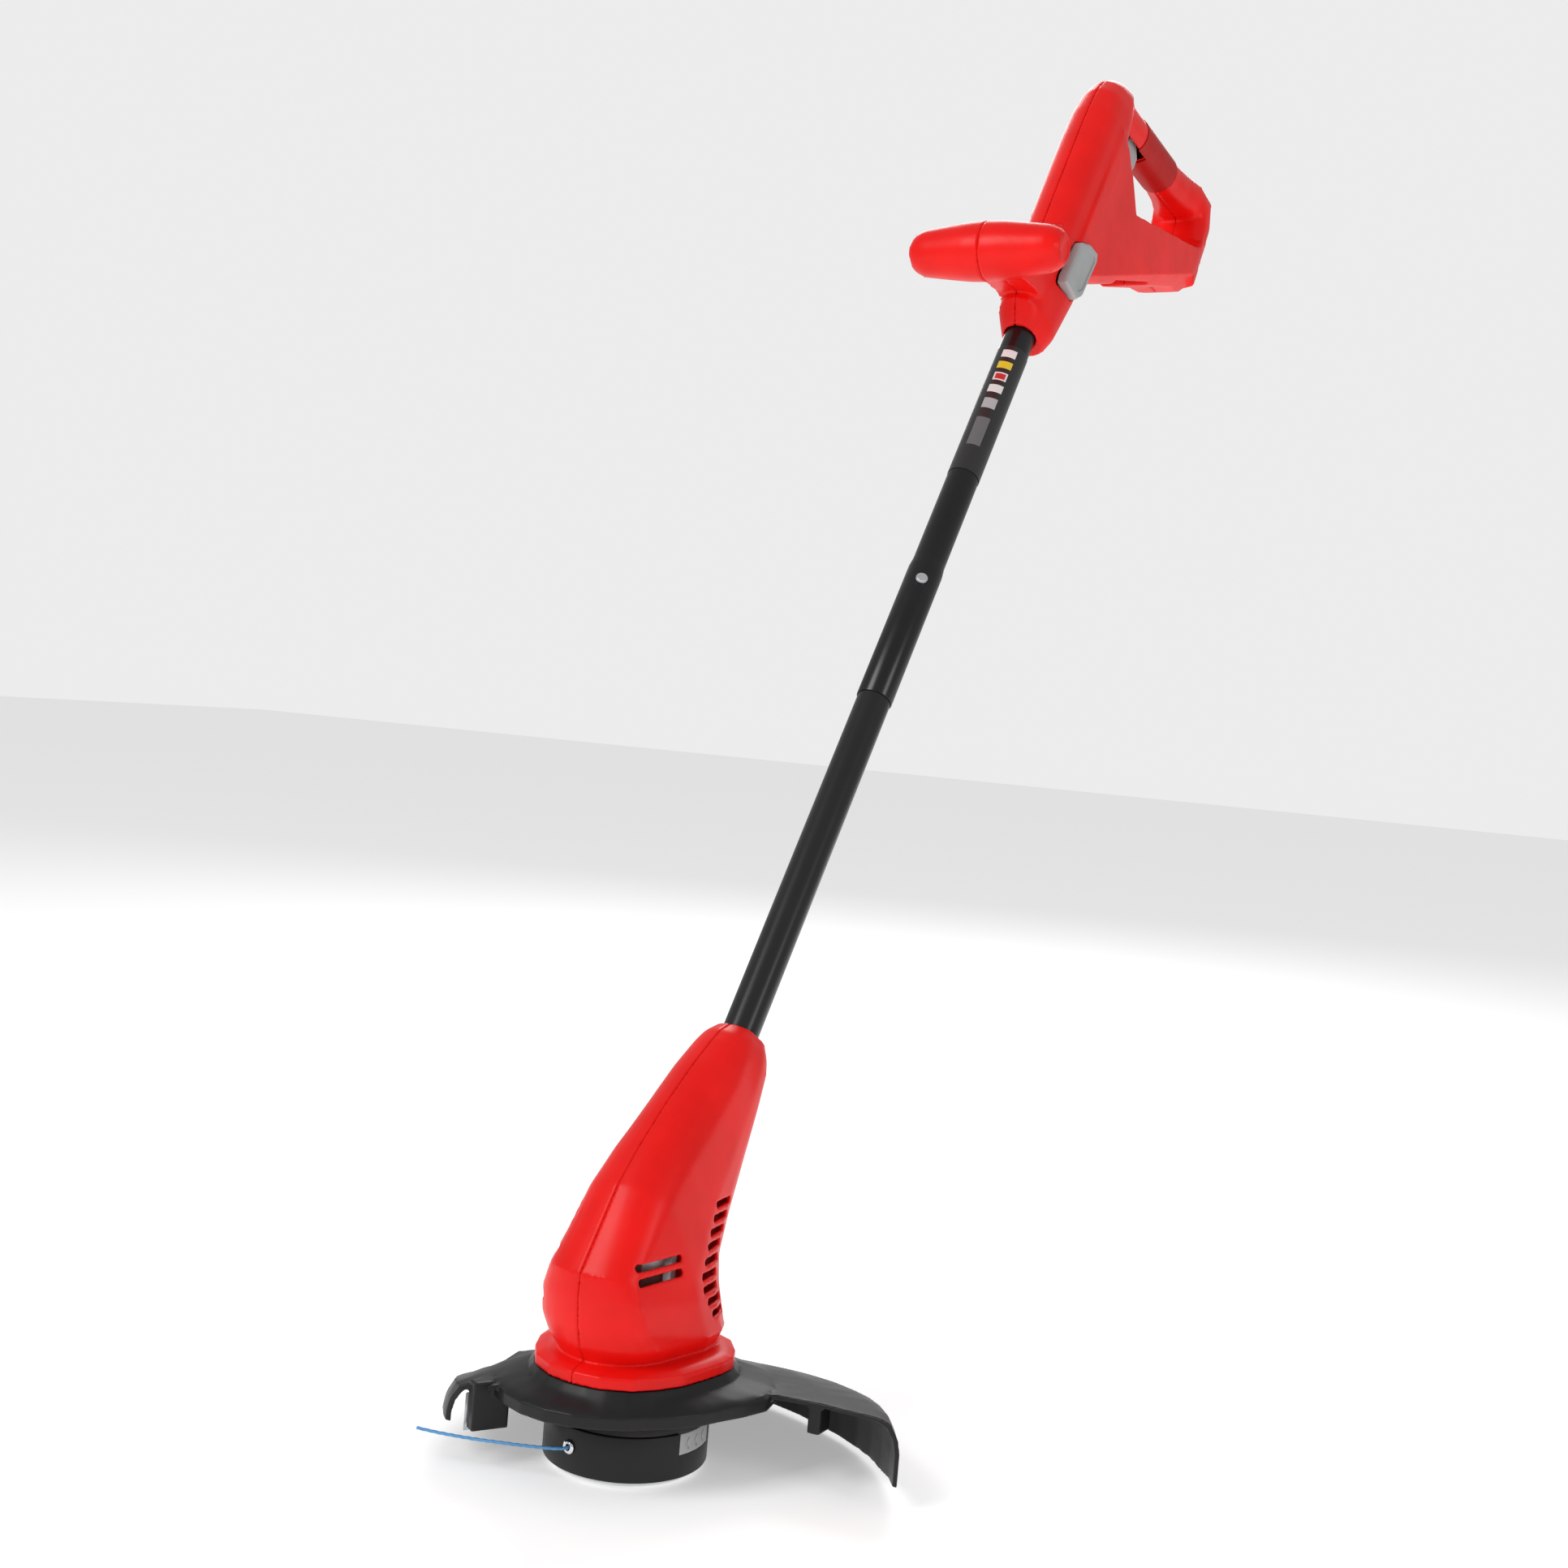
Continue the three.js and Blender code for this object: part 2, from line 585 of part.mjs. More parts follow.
const EYELET_FRAME = new THREE.Matrix4().makeRotationZ(THREE.MathUtils.degToRad(EYELET_ANGLE))
  .multiply(new THREE.Matrix4().makeTranslation(0, 0, EYELET_Z))
  .multiply(ALONG_X);

function spoolCover() {
  const inner = COVER_R - COVER_WALL;
  let cover = turned([
    [inner, COVER_BOTTOM], [COVER_R - 1.2, COVER_BOTTOM], [COVER_R, COVER_BOTTOM + 1.2],
    [COVER_R, COVER_TOP - 0.8], [COVER_R - 0.8, COVER_TOP], [inner, COVER_TOP],
  ], 32);
  for (const angle of TAB_ANGLES) {
    const from = angle - TAB_HALF_ANGLE - 0.5;
    const to = angle + TAB_HALF_ANGLE + 0.5;
    const window = sector(inner - 1, COVER_R + 1, TAB_BOTTOM - GAP, COVER_TOP + 1, from, to);
    cover = cover.subtract(window);
  }
  const hole = apply(disc(EYELET_R - 1 + GAP, COVER_R - 6, COVER_R + 4, 12), EYELET_FRAME);
  return cover.subtract(hole);
}

function lineEyelet() {
  const ring = turned([
    [1.7, COVER_R - 3], [EYELET_R - 1, COVER_R - 3], [EYELET_R - 1, COVER_R + GAP],
    [EYELET_R, COVER_R + GAP], [EYELET_R, COVER_R + 1], [EYELET_R - 1, COVER_R + 1.8],
    [2.2, COVER_R + 1.8], [1.7, COVER_R + 1],
  ], 14);
  return apply(ring, EYELET_FRAME);
}

const DRIVER_TOP = COVER_TOP - GAP;
const DRIVER_BOTTOM = DRIVER_TOP - 2.6;
const DRIVER_R = COVER_R - COVER_WALL - GAP;
const ARBOR_BORE_R = ARBOR_R + GAP;

function spoolDriver() {
  let body = turned([
    [ARBOR_BORE_R, DRIVER_BOTTOM], [DRIVER_R, DRIVER_BOTTOM], [DRIVER_R, DRIVER_TOP],
    [11, DRIVER_TOP], [9, DRIVER_TOP + 3], [9, 52], [ARBOR_BORE_R, 52],
  ], 24);
  for (const angle of TAB_ANGLES) {
    const tab = sector(DRIVER_R - 1.5, COVER_R, TAB_BOTTOM, DRIVER_TOP,
      angle - TAB_HALF_ANGLE, angle + TAB_HALF_ANGLE, 4);
    body = body.add(tab);
    for (const offset of [-9, 0, 9]) body = body.subtract(chevron(angle + offset));
  }
  return body;
}

// A pair of slanted grooves pointing the way that the spool turns.
function chevron(angle) {
  const z = (TAB_BOTTOM + DRIVER_TOP) / 2;
  const limb = (sign) => {
    const bar = new THREE.BoxGeometry(1.2, 1.1, 4.6);
    bar.rotateX(-sign * 0.65);
    bar.translate(COVER_R + 0.1, -1.3, z + sign * 1.7);
    bar.rotateZ(THREE.MathUtils.degToRad(angle));
    return toSolid(bar);
  };
  return limb(1).add(limb(-1));
}

const KNOB_TOP = COVER_BOTTOM + 2;
const KNOB_R = COVER_R - COVER_WALL - GAP;
const KNOB_STEM_R = 12;
const REEL_BOTTOM = KNOB_TOP + GAP;
const REEL_TOP = DRIVER_BOTTOM - BUMP_TRAVEL - GAP;
const REEL_HUB_R = 17;
const REEL_R = 44;

function lineReel() {
  return turned([
    [KNOB_STEM_R + GAP, REEL_BOTTOM], [REEL_R, REEL_BOTTOM], [REEL_R, REEL_BOTTOM + 1.6],
    [REEL_HUB_R, REEL_BOTTOM + 1.6], [REEL_HUB_R, REEL_TOP - 1.6], [REEL_R, REEL_TOP - 1.6],
    [REEL_R, REEL_TOP], [KNOB_STEM_R + GAP, REEL_TOP],
  ], 20);
}

function woundLine() {
  return turned([
    [REEL_HUB_R + GAP, REEL_BOTTOM + 1.6 + GAP], [39, REEL_BOTTOM + 1.6 + GAP],
    [40, (REEL_BOTTOM + REEL_TOP) / 2], [39, REEL_TOP - 1.6 - GAP], [REEL_HUB_R + GAP, REEL_TOP - 1.6 - GAP],
  ], 20);
}

function bumpKnob() {
  return turned([
    [0, 0], [36, 0], [42, 0.5], [45, 1.8], [KNOB_R, COVER_BOTTOM - 0.5], [KNOB_R, KNOB_TOP],
    [KNOB_STEM_R, KNOB_TOP], [KNOB_STEM_R, REEL_TOP], [KNOB_STEM_R - 3.5, REEL_TOP],
    [KNOB_STEM_R - 3.5, 8], [0, 8],
  ], 32);
}

const SPRING_BOTTOM = 8 + GAP;
const SPRING_TOP = DRIVER_BOTTOM - GAP;

// The spring's hull: a thin round sleeve of its outer size.
function bumpSpring() {
  return ringSolid(6.4, 7.6, SPRING_BOTTOM, SPRING_TOP, 14);
}

// The cut end of the line, from the eyelet out to the cutting circle.
const LINE_ROUTE = [
  [-6.9, -46.6, 19.7], [-7.8, -51.8, 19.7], [-11, -55.5, 19.7], [-18, -59, 19.4], [-28, -62.3, 18.8],
  [-40, -66, 18.3], [-52, -69.7, 17.9], [-64, -73.6, 17.8], [-76, -77.6, 18.1], [-84, -80.6, 18.7],
  [-91, -83.4, 19.4],
];

function cuttingLine() {
  const path = new THREE.CatmullRomCurve3(LINE_ROUTE.map((p) => new THREE.Vector3(...p)));
  const shape = new THREE.Shape();
  shape.absarc(0, 0, LINE_R, 0, Math.PI * 2);
  const options = { steps: 24, curveSegments: 4, bevelEnabled: false, extrudePath: path };
  return toSolid(outwardExtrude(new THREE.ExtrudeGeometry(shape, options)));
}

function outwardExtrude(geometry) {
  const bare = geometry.clone();
  bare.deleteAttribute('normal');
  bare.deleteAttribute('uv');
  return outward(mergeVertices(bare, 1e-4));
}

// ---------------------------------------------------------------- motor
function motorCan() {
  return turned([
    [MOTOR_R - 1.4, MOTOR_BOTTOM], [MOTOR_R, MOTOR_BOTTOM], [MOTOR_R, MOTOR_TOP - 3],
    [MOTOR_R - 3, MOTOR_TOP], [8.3, MOTOR_TOP], [8.3, MOTOR_TOP - 1.4],
    [MOTOR_R - 3.6, MOTOR_TOP - 1.4], [MOTOR_R - 1.4, MOTOR_TOP - 3.6],
  ], 20);
}

function fieldMagnet(side) {
  const middle = side > 0 ? 0 : 180;
  return sector(MOTOR_R - 5.2, MOTOR_R - 1.7, 96, 132, middle - 62, middle + 62, 10);
}

function bearing(z0, z1) {
  return ringSolid(ARBOR_R + GAP, 8, z0, z1, 16);
}

function armature() {
  let core = ringSolid(ARBOR_R + GAP, MOTOR_R - 5.8, 98, 130, 20);
  for (let i = 0; i < 7; i += 1) {
    const turn = new THREE.Matrix4().makeRotationZ((i * 2 * Math.PI) / 7);
    core = core.subtract(apply(block(9, 20, -1.2, 1.2, 90, 140), turn));
  }
  return core;
}

function commutator() {
  return ringSolid(ARBOR_R + GAP, 6.2, 132, 139.5, 14);
}

function brush(side) {
  const [x0, x1] = side > 0 ? [6.5, 13] : [-13, -6.5];
  return block(x0, x1, -2.5, 2.5, 133, 138.5);
}

function endBell() {
  let bell = turned([
    [8.3, MOTOR_BOTTOM - 1], [MOTOR_R, MOTOR_BOTTOM - 1], [MOTOR_R, MOTOR_BOTTOM - GAP],
    [MOTOR_R - 1.7, MOTOR_BOTTOM - GAP], [MOTOR_R - 1.7, MOTOR_BOTTOM + 4], [8.3, MOTOR_BOTTOM + 4],
  ], 20);
  for (const x of [-14, 14]) bell = bell.subtract(moved(disc(SCREW_R + GAP, 80, 90, 10), x, 0, 0));
  return bell;
}

function motorBracket() {
  let plate = ringSolid(11, 34, MOTOR_BOTTOM - 3.4, MOTOR_BOTTOM - 1.3, 20);
  for (const x of [-14, 14]) plate = plate.subtract(moved(disc(SCREW_R + GAP, 78, 88, 10), x, 0, 0));
  return plate;
}

function motorScrew(x) {
  const seat = MOTOR_BOTTOM - 3.4 - GAP;
  return moved(disc(SCREW_R, seat - 0.5, MOTOR_BOTTOM + 3, 8).add(disc(2.8, seat - 1.8, seat, 12)), x, 0, 0);
}

function coolingFan() {
  let fan = turned([
    [ARBOR_BORE_R, 69], [9, 69], [9, 70], [FAN_R, 70], [FAN_R, 71.4], [9, 71.4], [9, 77],
    [ARBOR_BORE_R, 77],
  ], 20);
  for (let i = 0; i < 9; i += 1) {
    const turn = new THREE.Matrix4().makeRotationZ((i * 2 * Math.PI) / 9);
    const blade = apply(block(8.5, FAN_R - 1, -0.8, 0.8, 71, 76), turn);
    fan = fan.add(blade);
  }
  return fan;
}

function arbor() {
  return turned([
    [0, DRIVER_BOTTOM], [ARBOR_R, DRIVER_BOTTOM], [ARBOR_R, 149], [0, 149],
  ], 12);
}

// ---------------------------------------------------------------- shaft
function lowerTube() {
  const tube = ringSolid(TUBE_R - TUBE_WALL, TUBE_R, LOWER_TUBE_START, SOCKET_END - 6, 24);
  return tube.subtract(jointScrewBar(SCREW_R + GAP, 4, 20));
}

function upperTube() {
  const wide = TUBE_R + GAP + 0.6;
  const tube = turned([
    [TUBE_R + GAP, SOCKET_START], [wide - 0.3, SOCKET_START], [wide, SOCKET_START + 1], [wide, SOCKET_END],
    [TUBE_R, SOCKET_END + 7], [TUBE_R, HANDLE_U + TUBE_IN_HANDLE],
    [TUBE_R - TUBE_WALL, HANDLE_U + TUBE_IN_HANDLE],
    [TUBE_R - TUBE_WALL, SOCKET_END + 5], [TUBE_R + GAP, SOCKET_END - 2],
  ], 24);
  return tube.subtract(jointScrewBar(SCREW_R + GAP, 4, 20));
}

const JOINT_SCREW_U = 538;
const JOINT_SCREW_TURN = THREE.MathUtils.degToRad(-62);

function jointScrewBar(radius, from, to) {
  const bar = moved(apply(disc(radius, from, to, 12), ALONG_X), 0, 0, JOINT_SCREW_U);
  return apply(bar, new THREE.Matrix4().makeRotationZ(JOINT_SCREW_TURN));
}

function jointScrew() {
  const seat = TUBE_R + GAP + 0.9;
  const head = jointScrewBar(4.4, seat, seat + 1.3).add(jointScrewBar(3.2, seat + 1.2, seat + 2.2));
  return head.add(jointScrewBar(SCREW_R, 8, seat + 0.5));
}

function labelFilm() {
  return ringSolid(TUBE_R + 0.15, TUBE_R + 0.4, LABEL_FROM, LABEL_TO, 24);
}

function motorLead() {
  return disc(2.4, LOWER_TUBE_START - 14, HANDLE_U + TUBE_IN_HANDLE + 6, 10);
}

const COLLAR_H = [28, 38];

function stopCollar() {
  const ring = ringSolid(TUBE_R + GAP, TUBE_R + 3.4, HANDLE_U + COLLAR_H[0], HANDLE_U + COLLAR_H[1], 20);
  const lug = block(-4, 4, TUBE_R + 1, TUBE_R + 6, HANDLE_U + COLLAR_H[0], HANDLE_U + COLLAR_H[1]);
  return ring.add(lug);
}

// ---------------------------------------------------------------- handle
// Stations of the front housing: height h, front and back edges (b), half-width, crease.
const SPINE = [
  { h: 0, front: 15.5, back: 20, half: 14.8, crease: [12.5, 8] },
  { h: 2.5, front: 18.5, back: 22, half: 17, crease: [14, 10] },
  { h: 14, front: 30, back: 24, half: 21.5, crease: [18, 16] },
  { h: 60, front: 32.5, back: 30, half: 23.8, crease: [19.5, 14] },
  { h: 120, front: 34, back: 32, half: 25, crease: [20.5, 14] },
  { h: 200, front: 35.5, back: 30, half: 25.4, crease: [21.5, 15] },
  { h: 232, front: 35.5, back: 16, half: 24.8, crease: [21, 15] },
  { h: 255, front: 33.5, back: 10, half: 23.6, crease: [19.5, 15] },
  { h: 272, front: 28, back: 6, half: 21, crease: [17, 13] },
  { h: 284, front: 19, back: 4, half: 16.5, crease: [13, 9] },
  { h: 291, front: 7, back: 2, half: 9, crease: [7, 3.5] },
];

function spineRing({ h, front, back, half: a, crease }, inset) {
  const sizes = { front, back: -back, half: a, crease: [crease[0], front - crease[1]] };
  return sectionPoints(sizes, inset).map(([x, v]) => new THREE.Vector3(x, -v, h));
}

// Stations of the grip and the rear column: centre (b, h), heading in degrees, half-thickness,
// half-width and the squareness of the section.
const GRIP_PATH = [
  [-6, 266, 27, 17, 17.5, 2.1], [20, 279, 27, GRIP_R, GRIP_R, 2], [45.5, 292, 27, GRIP_R, GRIP_R, 2],
  [128, 334, 27, GRIP_R, GRIP_R, 2], [150, 345.4, 27, GRIP_R + 0.5, 19.5, 2.2],
  [172, 356.5, 22, 18, 24, 2.7], [186, 358, -14, 19.5, 27, 3.2], [195, 343, -62, 14.5, 28, 3.4],
  [196.5, 322, -90, 11, 28.5, 3.4], [196.5, 296, -90, 11, 29.5, 3.6], [196.5, 276, -90, 11, 30, 3.8],
];

function gripRing([b, h, heading, thick, wide, power], inset) {
  const angle = THREE.MathUtils.degToRad(heading + 90);
  const points = [];
  const sides = inset > 0 ? 12 : 20;
  for (let i = 0; i < sides; i += 1) {
    const t = (i / sides) * Math.PI * 2;
    const round = (value) => Math.sign(value) * Math.abs(value) ** (2 / power);
    const across = (thick - inset) * round(Math.sin(t));
    points.push(new THREE.Vector3((wide - inset) * round(Math.cos(t)),
      b + across * Math.cos(angle), h + across * Math.sin(angle)));
  }
  return points;
}

const BAY_CENTRE = [102.5, 168];
const BAY_ANGLE = Math.atan2(162, 155);    // slope of the dock's underside in (b, h)

// Dock: the side outline, cut to its plan taper and to the lower facets.
const DOCK_OUTLINE = [
  [8, 76], [25, 88], [180, 250], [194, 258], [203, 268], [207, 284], [207, 320], [186, 318], [185, 306],
  [176, 297], [60, 207], [48, 214], [33, 222], [11.5, 231], [-8, 231], [-8, 76],
];
const DOCK_INNER = [
  [14, 84], [26, 93], [178, 253], [192, 262], [200, 270], [203.8, 286], [203.8, 312], [189, 308], [179, 296],
  [62, 203.5], [46, 211], [32, 218.5], [12, 227], [-4, 227], [-4, 84],
];

function dockForm(outline, inset) {
  const side = slab(outline, -40, 40);
  const plan = [
    [-20, DOCK_HALF_FRONT - inset], [24, DOCK_HALF_FRONT - inset], [150, DOCK_HALF_REAR - 1.5 - inset],
    [190, DOCK_HALF_REAR - inset], [201, DOCK_HALF_REAR - 2.5 - inset], [208, DOCK_HALF_REAR - 10 - inset],
  ];
  const border = [...plan.map(([b, x]) => [x, b]), ...[...plan].reverse().map(([b, x]) => [-x, b])];
  const planSolid = pillar(border, 0, 500);
  const facets = [
    [0, -7 + inset], [17 - inset, -4 + inset], [40 - inset, 22 + inset], [40 - inset, 300],
    [-40 + inset, 300], [-40 + inset, 22 + inset], [-17 + inset, -4 + inset],
  ];
  const [cos, sin] = [Math.cos(BAY_ANGLE), Math.sin(BAY_ANGLE)];
  const facetRing = (s) => facets.map(
    ([x, w]) => new THREE.Vector3(x, 25 + s * cos - w * sin, 88 + s * sin + w * cos));
  return side.intersect(planSolid).intersect(toSolid(loft([facetRing(-150), facetRing(300)])));
}

const BARREL_AT = [-88, 0];
const BARREL_PROFILE = [
  [0, -BARREL_HALF], [11, -BARREL_HALF], [14.5, -BARREL_HALF + 3], [16.8, -BARREL_HALF + 8.5],
  [17.6, -BARREL_HALF + 9.5], [20.4, -28], [22, -14], [BARREL_R, 0], [22, 14], [20.4, 28],
  [17.6, BARREL_HALF - 9.5], [16.8, BARREL_HALF - 8.5], [14.5, BARREL_HALF - 3],
  [11, BARREL_HALF], [0, BARREL_HALF],
];

function barrelForm(inset) {
  const stations = inset > 0 ? BARREL_PROFILE.filter((_, i) => i % 2 === 0) : BARREL_PROFILE;
  const profile = stations.map(([r, x]) => {
    const shrink = 1 - inset / BARREL_HALF;
    return [Math.max(0, r === 0 ? 0 : r - inset), x * shrink];
  });
  return moved(apply(turned(profile, inset > 0 ? 12 : 28), ALONG_X), 0, BARREL_AT[0], BARREL_AT[1]);
}

const STEM_OUTLINE = [[-98, 12], [-80, -14], [-52, 8], [-30, 20], [-18, 22], [-18, 92], [-33, 92], [-60, 52]];
const STEM_INNER = [
  [-92, 9], [-81, -8], [-53, 12.5], [-30, 24.5], [-14, 30], [-14, 86], [-30, 86], [-58, 47],
];
const STEM_HALF = 17;

const HANDLE_SCREWS = [[-24, 258], [-22, 110], [-24, 25], [194, 300], [-60, 24]];
const TRIGGER_PIVOT = [37, 279];
const TRIGGER_OUTLINE = [
  [33, 270], [30.5, 260], [34, 251.5], [39, 249], [49, 249.5], [56, 256], [59, 266], [58.5, 277],
  [47, 284], [34, 283],
];
const PIN_R = 1.5;
const SPRING_ROOM = 2.6;         // beside the trigger, for its torsion spring
const TRIGGER_ROOM = 0.8;

const BUTTON_OUTLINE = [
  [-10, 95], [3, 107], [18, 113], [21.5, 107], [19, 65], [12, 54], [-12, 48], [-14, 54],
];
const BUTTON_DISH = [[4, 101], [15, 106], [17.5, 103], [15.5, 69], [10, 61], [3, 60]];
const DISH_DEPTH = 1.1;
const BUTTON_FACE_X = 28.6;
const BUTTON_INNER_X = 20.3;

function grown(outline, by) {
  const centre = outline.reduce(([a, b], [p, q]) => [a + p / outline.length, b + q / outline.length], [0, 0]);
  return outline.map(([p, q]) => {
    const [dp, dq] = [p - centre[0], q - centre[1]];
    const length = Math.hypot(dp, dq);
    return [p + (dp / length) * by, q + (dq / length) * by];
  });
}

// A point of the battery bay, at a height above its middle along the bay's own upright.
function bayPoint(x, lift) {
  return [x, BAY_CENTRE[0] - lift * Math.sin(BAY_ANGLE), BAY_CENTRE[1] + lift * Math.cos(BAY_ANGLE)];
}

// The battery bay's block, grown by a wall all round.
function bayBlock(wall) {
  const size = [BAY_HALF_WIDTH * 2, BAY_LENGTH, BAY_DEPTH * 2].map((side) => side + 2 * wall);
  return boxTurned(size, bayPoint(0, -BAY_DROP), BAY_ANGLE);
}

const GRIP_SLEEVE_FROM = 44;
const GRIP_SLEEVE_TO = 118;

// The part of the grip between two distances b, for its sleeve and its relief.
function gripStretch(b0, b1, inset) {
  const slope = Math.tan(THREE.MathUtils.degToRad(27));
  const at = (b) => [b, 292 + (b - 45.5) * slope, 27, GRIP_R, GRIP_R, 2];
  return toSolid(loft([at(b0), at(b1)].map((station) => gripRing(station, inset))));
}

function handleShells() {
  const spine = toSolid(loft(SPINE.map((station) => spineRing(station, 0))));
  const spineHollow = toSolid(loft(SPINE.slice(2, -1).map((station) => spineRing(station, WALL))));
  const grip = toSolid(loft(GRIP_PATH.map((station) => gripRing(station, 0))));
  const gripHollow = toSolid(loft(GRIP_PATH.slice(0, -1).map((station) => gripRing(station, WALL + 0.3))));
  const outer = union([
    spine, grip, dockForm(DOCK_OUTLINE, 0), barrelForm(0), slab(STEM_OUTLINE, -STEM_HALF, STEM_HALF),
  ]);
  const hollow = union([
    spineHollow, gripHollow, dockForm(DOCK_INNER, WALL), barrelForm(WALL),
    slab(STEM_INNER, -STEM_HALF + WALL, STEM_HALF - WALL),
  ]);
  let shell = outer.subtract(hollow);
  shell = shell.add(bayBlock(WALL).intersect(outer)).subtract(bayBlock(0));
  shell = withPosts(shell, outer, HANDLE_SCREWS, 40);
  const nose = disc(19, 0, 22, 16).intersect(outer);
  shell = shell.add(nose).subtract(disc(TUBE_R + GAP + 0.2, -5, TUBE_IN_HANDLE + 4, 24));
  shell = shell.subtract(disc(TUBE_R + 3.6, 6.7, 22.3, 16));
  const slotSides = [-TRIGGER_HALF - TRIGGER_ROOM, TRIGGER_HALF + SPRING_ROOM];
  shell = shell.subtract(slab([[24, 245], [66, 245], [66, 296], [24, 296]], ...slotSides));
  const bosses = barX(4, -17, 17, ...TRIGGER_PIVOT).intersect(grip)
    .subtract(barX(6, ...slotSides, ...TRIGGER_PIVOT));
  shell = shell.add(bosses).subtract(barX(PIN_R + GAP, -12.5, 12.5, ...TRIGGER_PIVOT));
  shell = shell.subtract(slab(grown(BUTTON_OUTLINE, 0.5), 17, 60));
  const relief = gripStretch(GRIP_SLEEVE_FROM - 0.3, GRIP_SLEEVE_TO + 0.3, -3)
    .subtract(gripStretch(GRIP_SLEEVE_FROM - 2, GRIP_SLEEVE_TO + 2, SLEEVE_WALL - 0.4));
  shell = shell.subtract(relief);
  return shell.subtract(barrelWindow());
}

// A shallow window sunk into the +X end of the barrel.
function barrelWindow() {
  const outline = [];
  for (let i = 0; i <= 10; i += 1) {
    const t = (-100 + 20 * i) * (Math.PI / 180);
    outline.push([BARREL_AT[0] + 9.5 * Math.cos(t), BARREL_AT[1] + 9.5 * Math.sin(t)]);
  }
  outline.push([BARREL_AT[0] - 3, BARREL_AT[1]]);
  return slab(outline, BARREL_HALF - 1.4, BARREL_HALF + 3);
}

function gripSleeve() {
  const body = gripStretch(GRIP_SLEEVE_FROM, GRIP_SLEEVE_TO, -0.5)
    .subtract(gripStretch(GRIP_SLEEVE_FROM - 2, GRIP_SLEEVE_TO + 2, SLEEVE_WALL - 0.7));
  const slotSides = [-TRIGGER_HALF - 1, TRIGGER_HALF + SPRING_ROOM + 0.2];
  return body.subtract(slab([[24, 245], [68, 245], [68, 299], [24, 299]], ...slotSides));
}

function trigger() {
  const body = slab(TRIGGER_OUTLINE, -TRIGGER_HALF, TRIGGER_HALF);
  return body.subtract(barX(PIN_R + GAP, -10, 10, ...TRIGGER_PIVOT));
}

function lockButton() {
  const tip = grown(BUTTON_OUTLINE, -1.6);
  const rings = [
    [BUTTON_INNER_X, BUTTON_OUTLINE], [BUTTON_FACE_X - 1.6, BUTTON_OUTLINE], [BUTTON_FACE_X, tip],
  ].map(([x, outline]) => outline.map(([b, h]) => new THREE.Vector3(x, b, h)));
  const dish = slab(BUTTON_DISH, BUTTON_FACE_X - DISH_DEPTH, BUTTON_FACE_X + 3);
  return toSolid(loft(rings)).subtract(dish);
}

function switchBlock() {
  return boxTurned([13, 22, 12], [0, 84, 311.5], THREE.MathUtils.degToRad(27));
}

function terminalBlock() {
  const lift = BAY_DEPTH - BAY_DROP - TERMINAL_HEIGHT / 2 - TERMINAL_GAP;
  return boxTurned([30, 34, TERMINAL_HEIGHT], bayPoint(0, lift), BAY_ANGLE);
}

function terminalBlade(side) {
  const lift = BAY_DEPTH - BAY_DROP - TERMINAL_HEIGHT - TERMINAL_GAP - GAP - BLADE_HEIGHT / 2;
  return boxTurned([1, 12, BLADE_HEIGHT], bayPoint(side * 8, lift), BAY_ANGLE);
}

// The trigger's torsion spring, as the sleeve that its coil fills, round the pin beside the trigger.
function triggerSpring() {
  const sleeve = barX(3.4, TRIGGER_HALF + GAP, TRIGGER_HALF + SPRING_ROOM - GAP, ...TRIGGER_PIVOT);
  return sleeve.subtract(barX(PIN_R + GAP, 0, 20, ...TRIGGER_PIVOT));
}

// ---------------------------------------------------------------- assembly
const handleBody = handleShells();
node(handleFrame, 'handle_shell_left', half(handleBody, 1), 'red');
node(handleFrame, 'handle_shell_right', half(handleBody, -1), 'red');
node(handleFrame, 'rear_grip_sleeve', gripSleeve(), 'darkRed');
node(handleFrame, 'trigger', trigger(), 'grey');
node(handleFrame, 'trigger_spring', triggerSpring(), 'steel');
node(handleFrame, 'trigger_pin', barX(PIN_R, -12, 12, ...TRIGGER_PIVOT, 16), 'steel');
node(handleFrame, 'lock_button', lockButton(), 'grey');
node(handleFrame, 'power_switch', switchBlock(), 'black');
node(handleFrame, 'terminal_block', terminalBlock(), 'black');
node(handleFrame, 'terminal_blade_left', terminalBlade(1), 'copper');
node(handleFrame, 'terminal_blade_right', terminalBlade(-1), 'copper');
node(handleFrame, 'shaft_bush', ringSolid(TUBE_R + GAP, TUBE_R + 2.8, 7, 22, 20), 'black');
HANDLE_SCREWS.forEach(([b, h], i) => {
  node(handleFrame, `handle_screw_${i + 1}`, sideScrew(SEAT_X - GAP, b, h), 'steel');
});

node(shaftFrame, 'upper_tube', upperTube(), 'tube');
node(shaftFrame, 'lower_tube', lowerTube(), 'tube');
node(shaftFrame, 'joint_screw', jointScrew(), 'steel');
node(shaftFrame, 'label_film', labelFilm(), 'label');
node(shaftFrame, 'motor_lead', motorLead(), 'black');
node(shaftFrame, 'stop_collar', stopCollar(), 'steel');

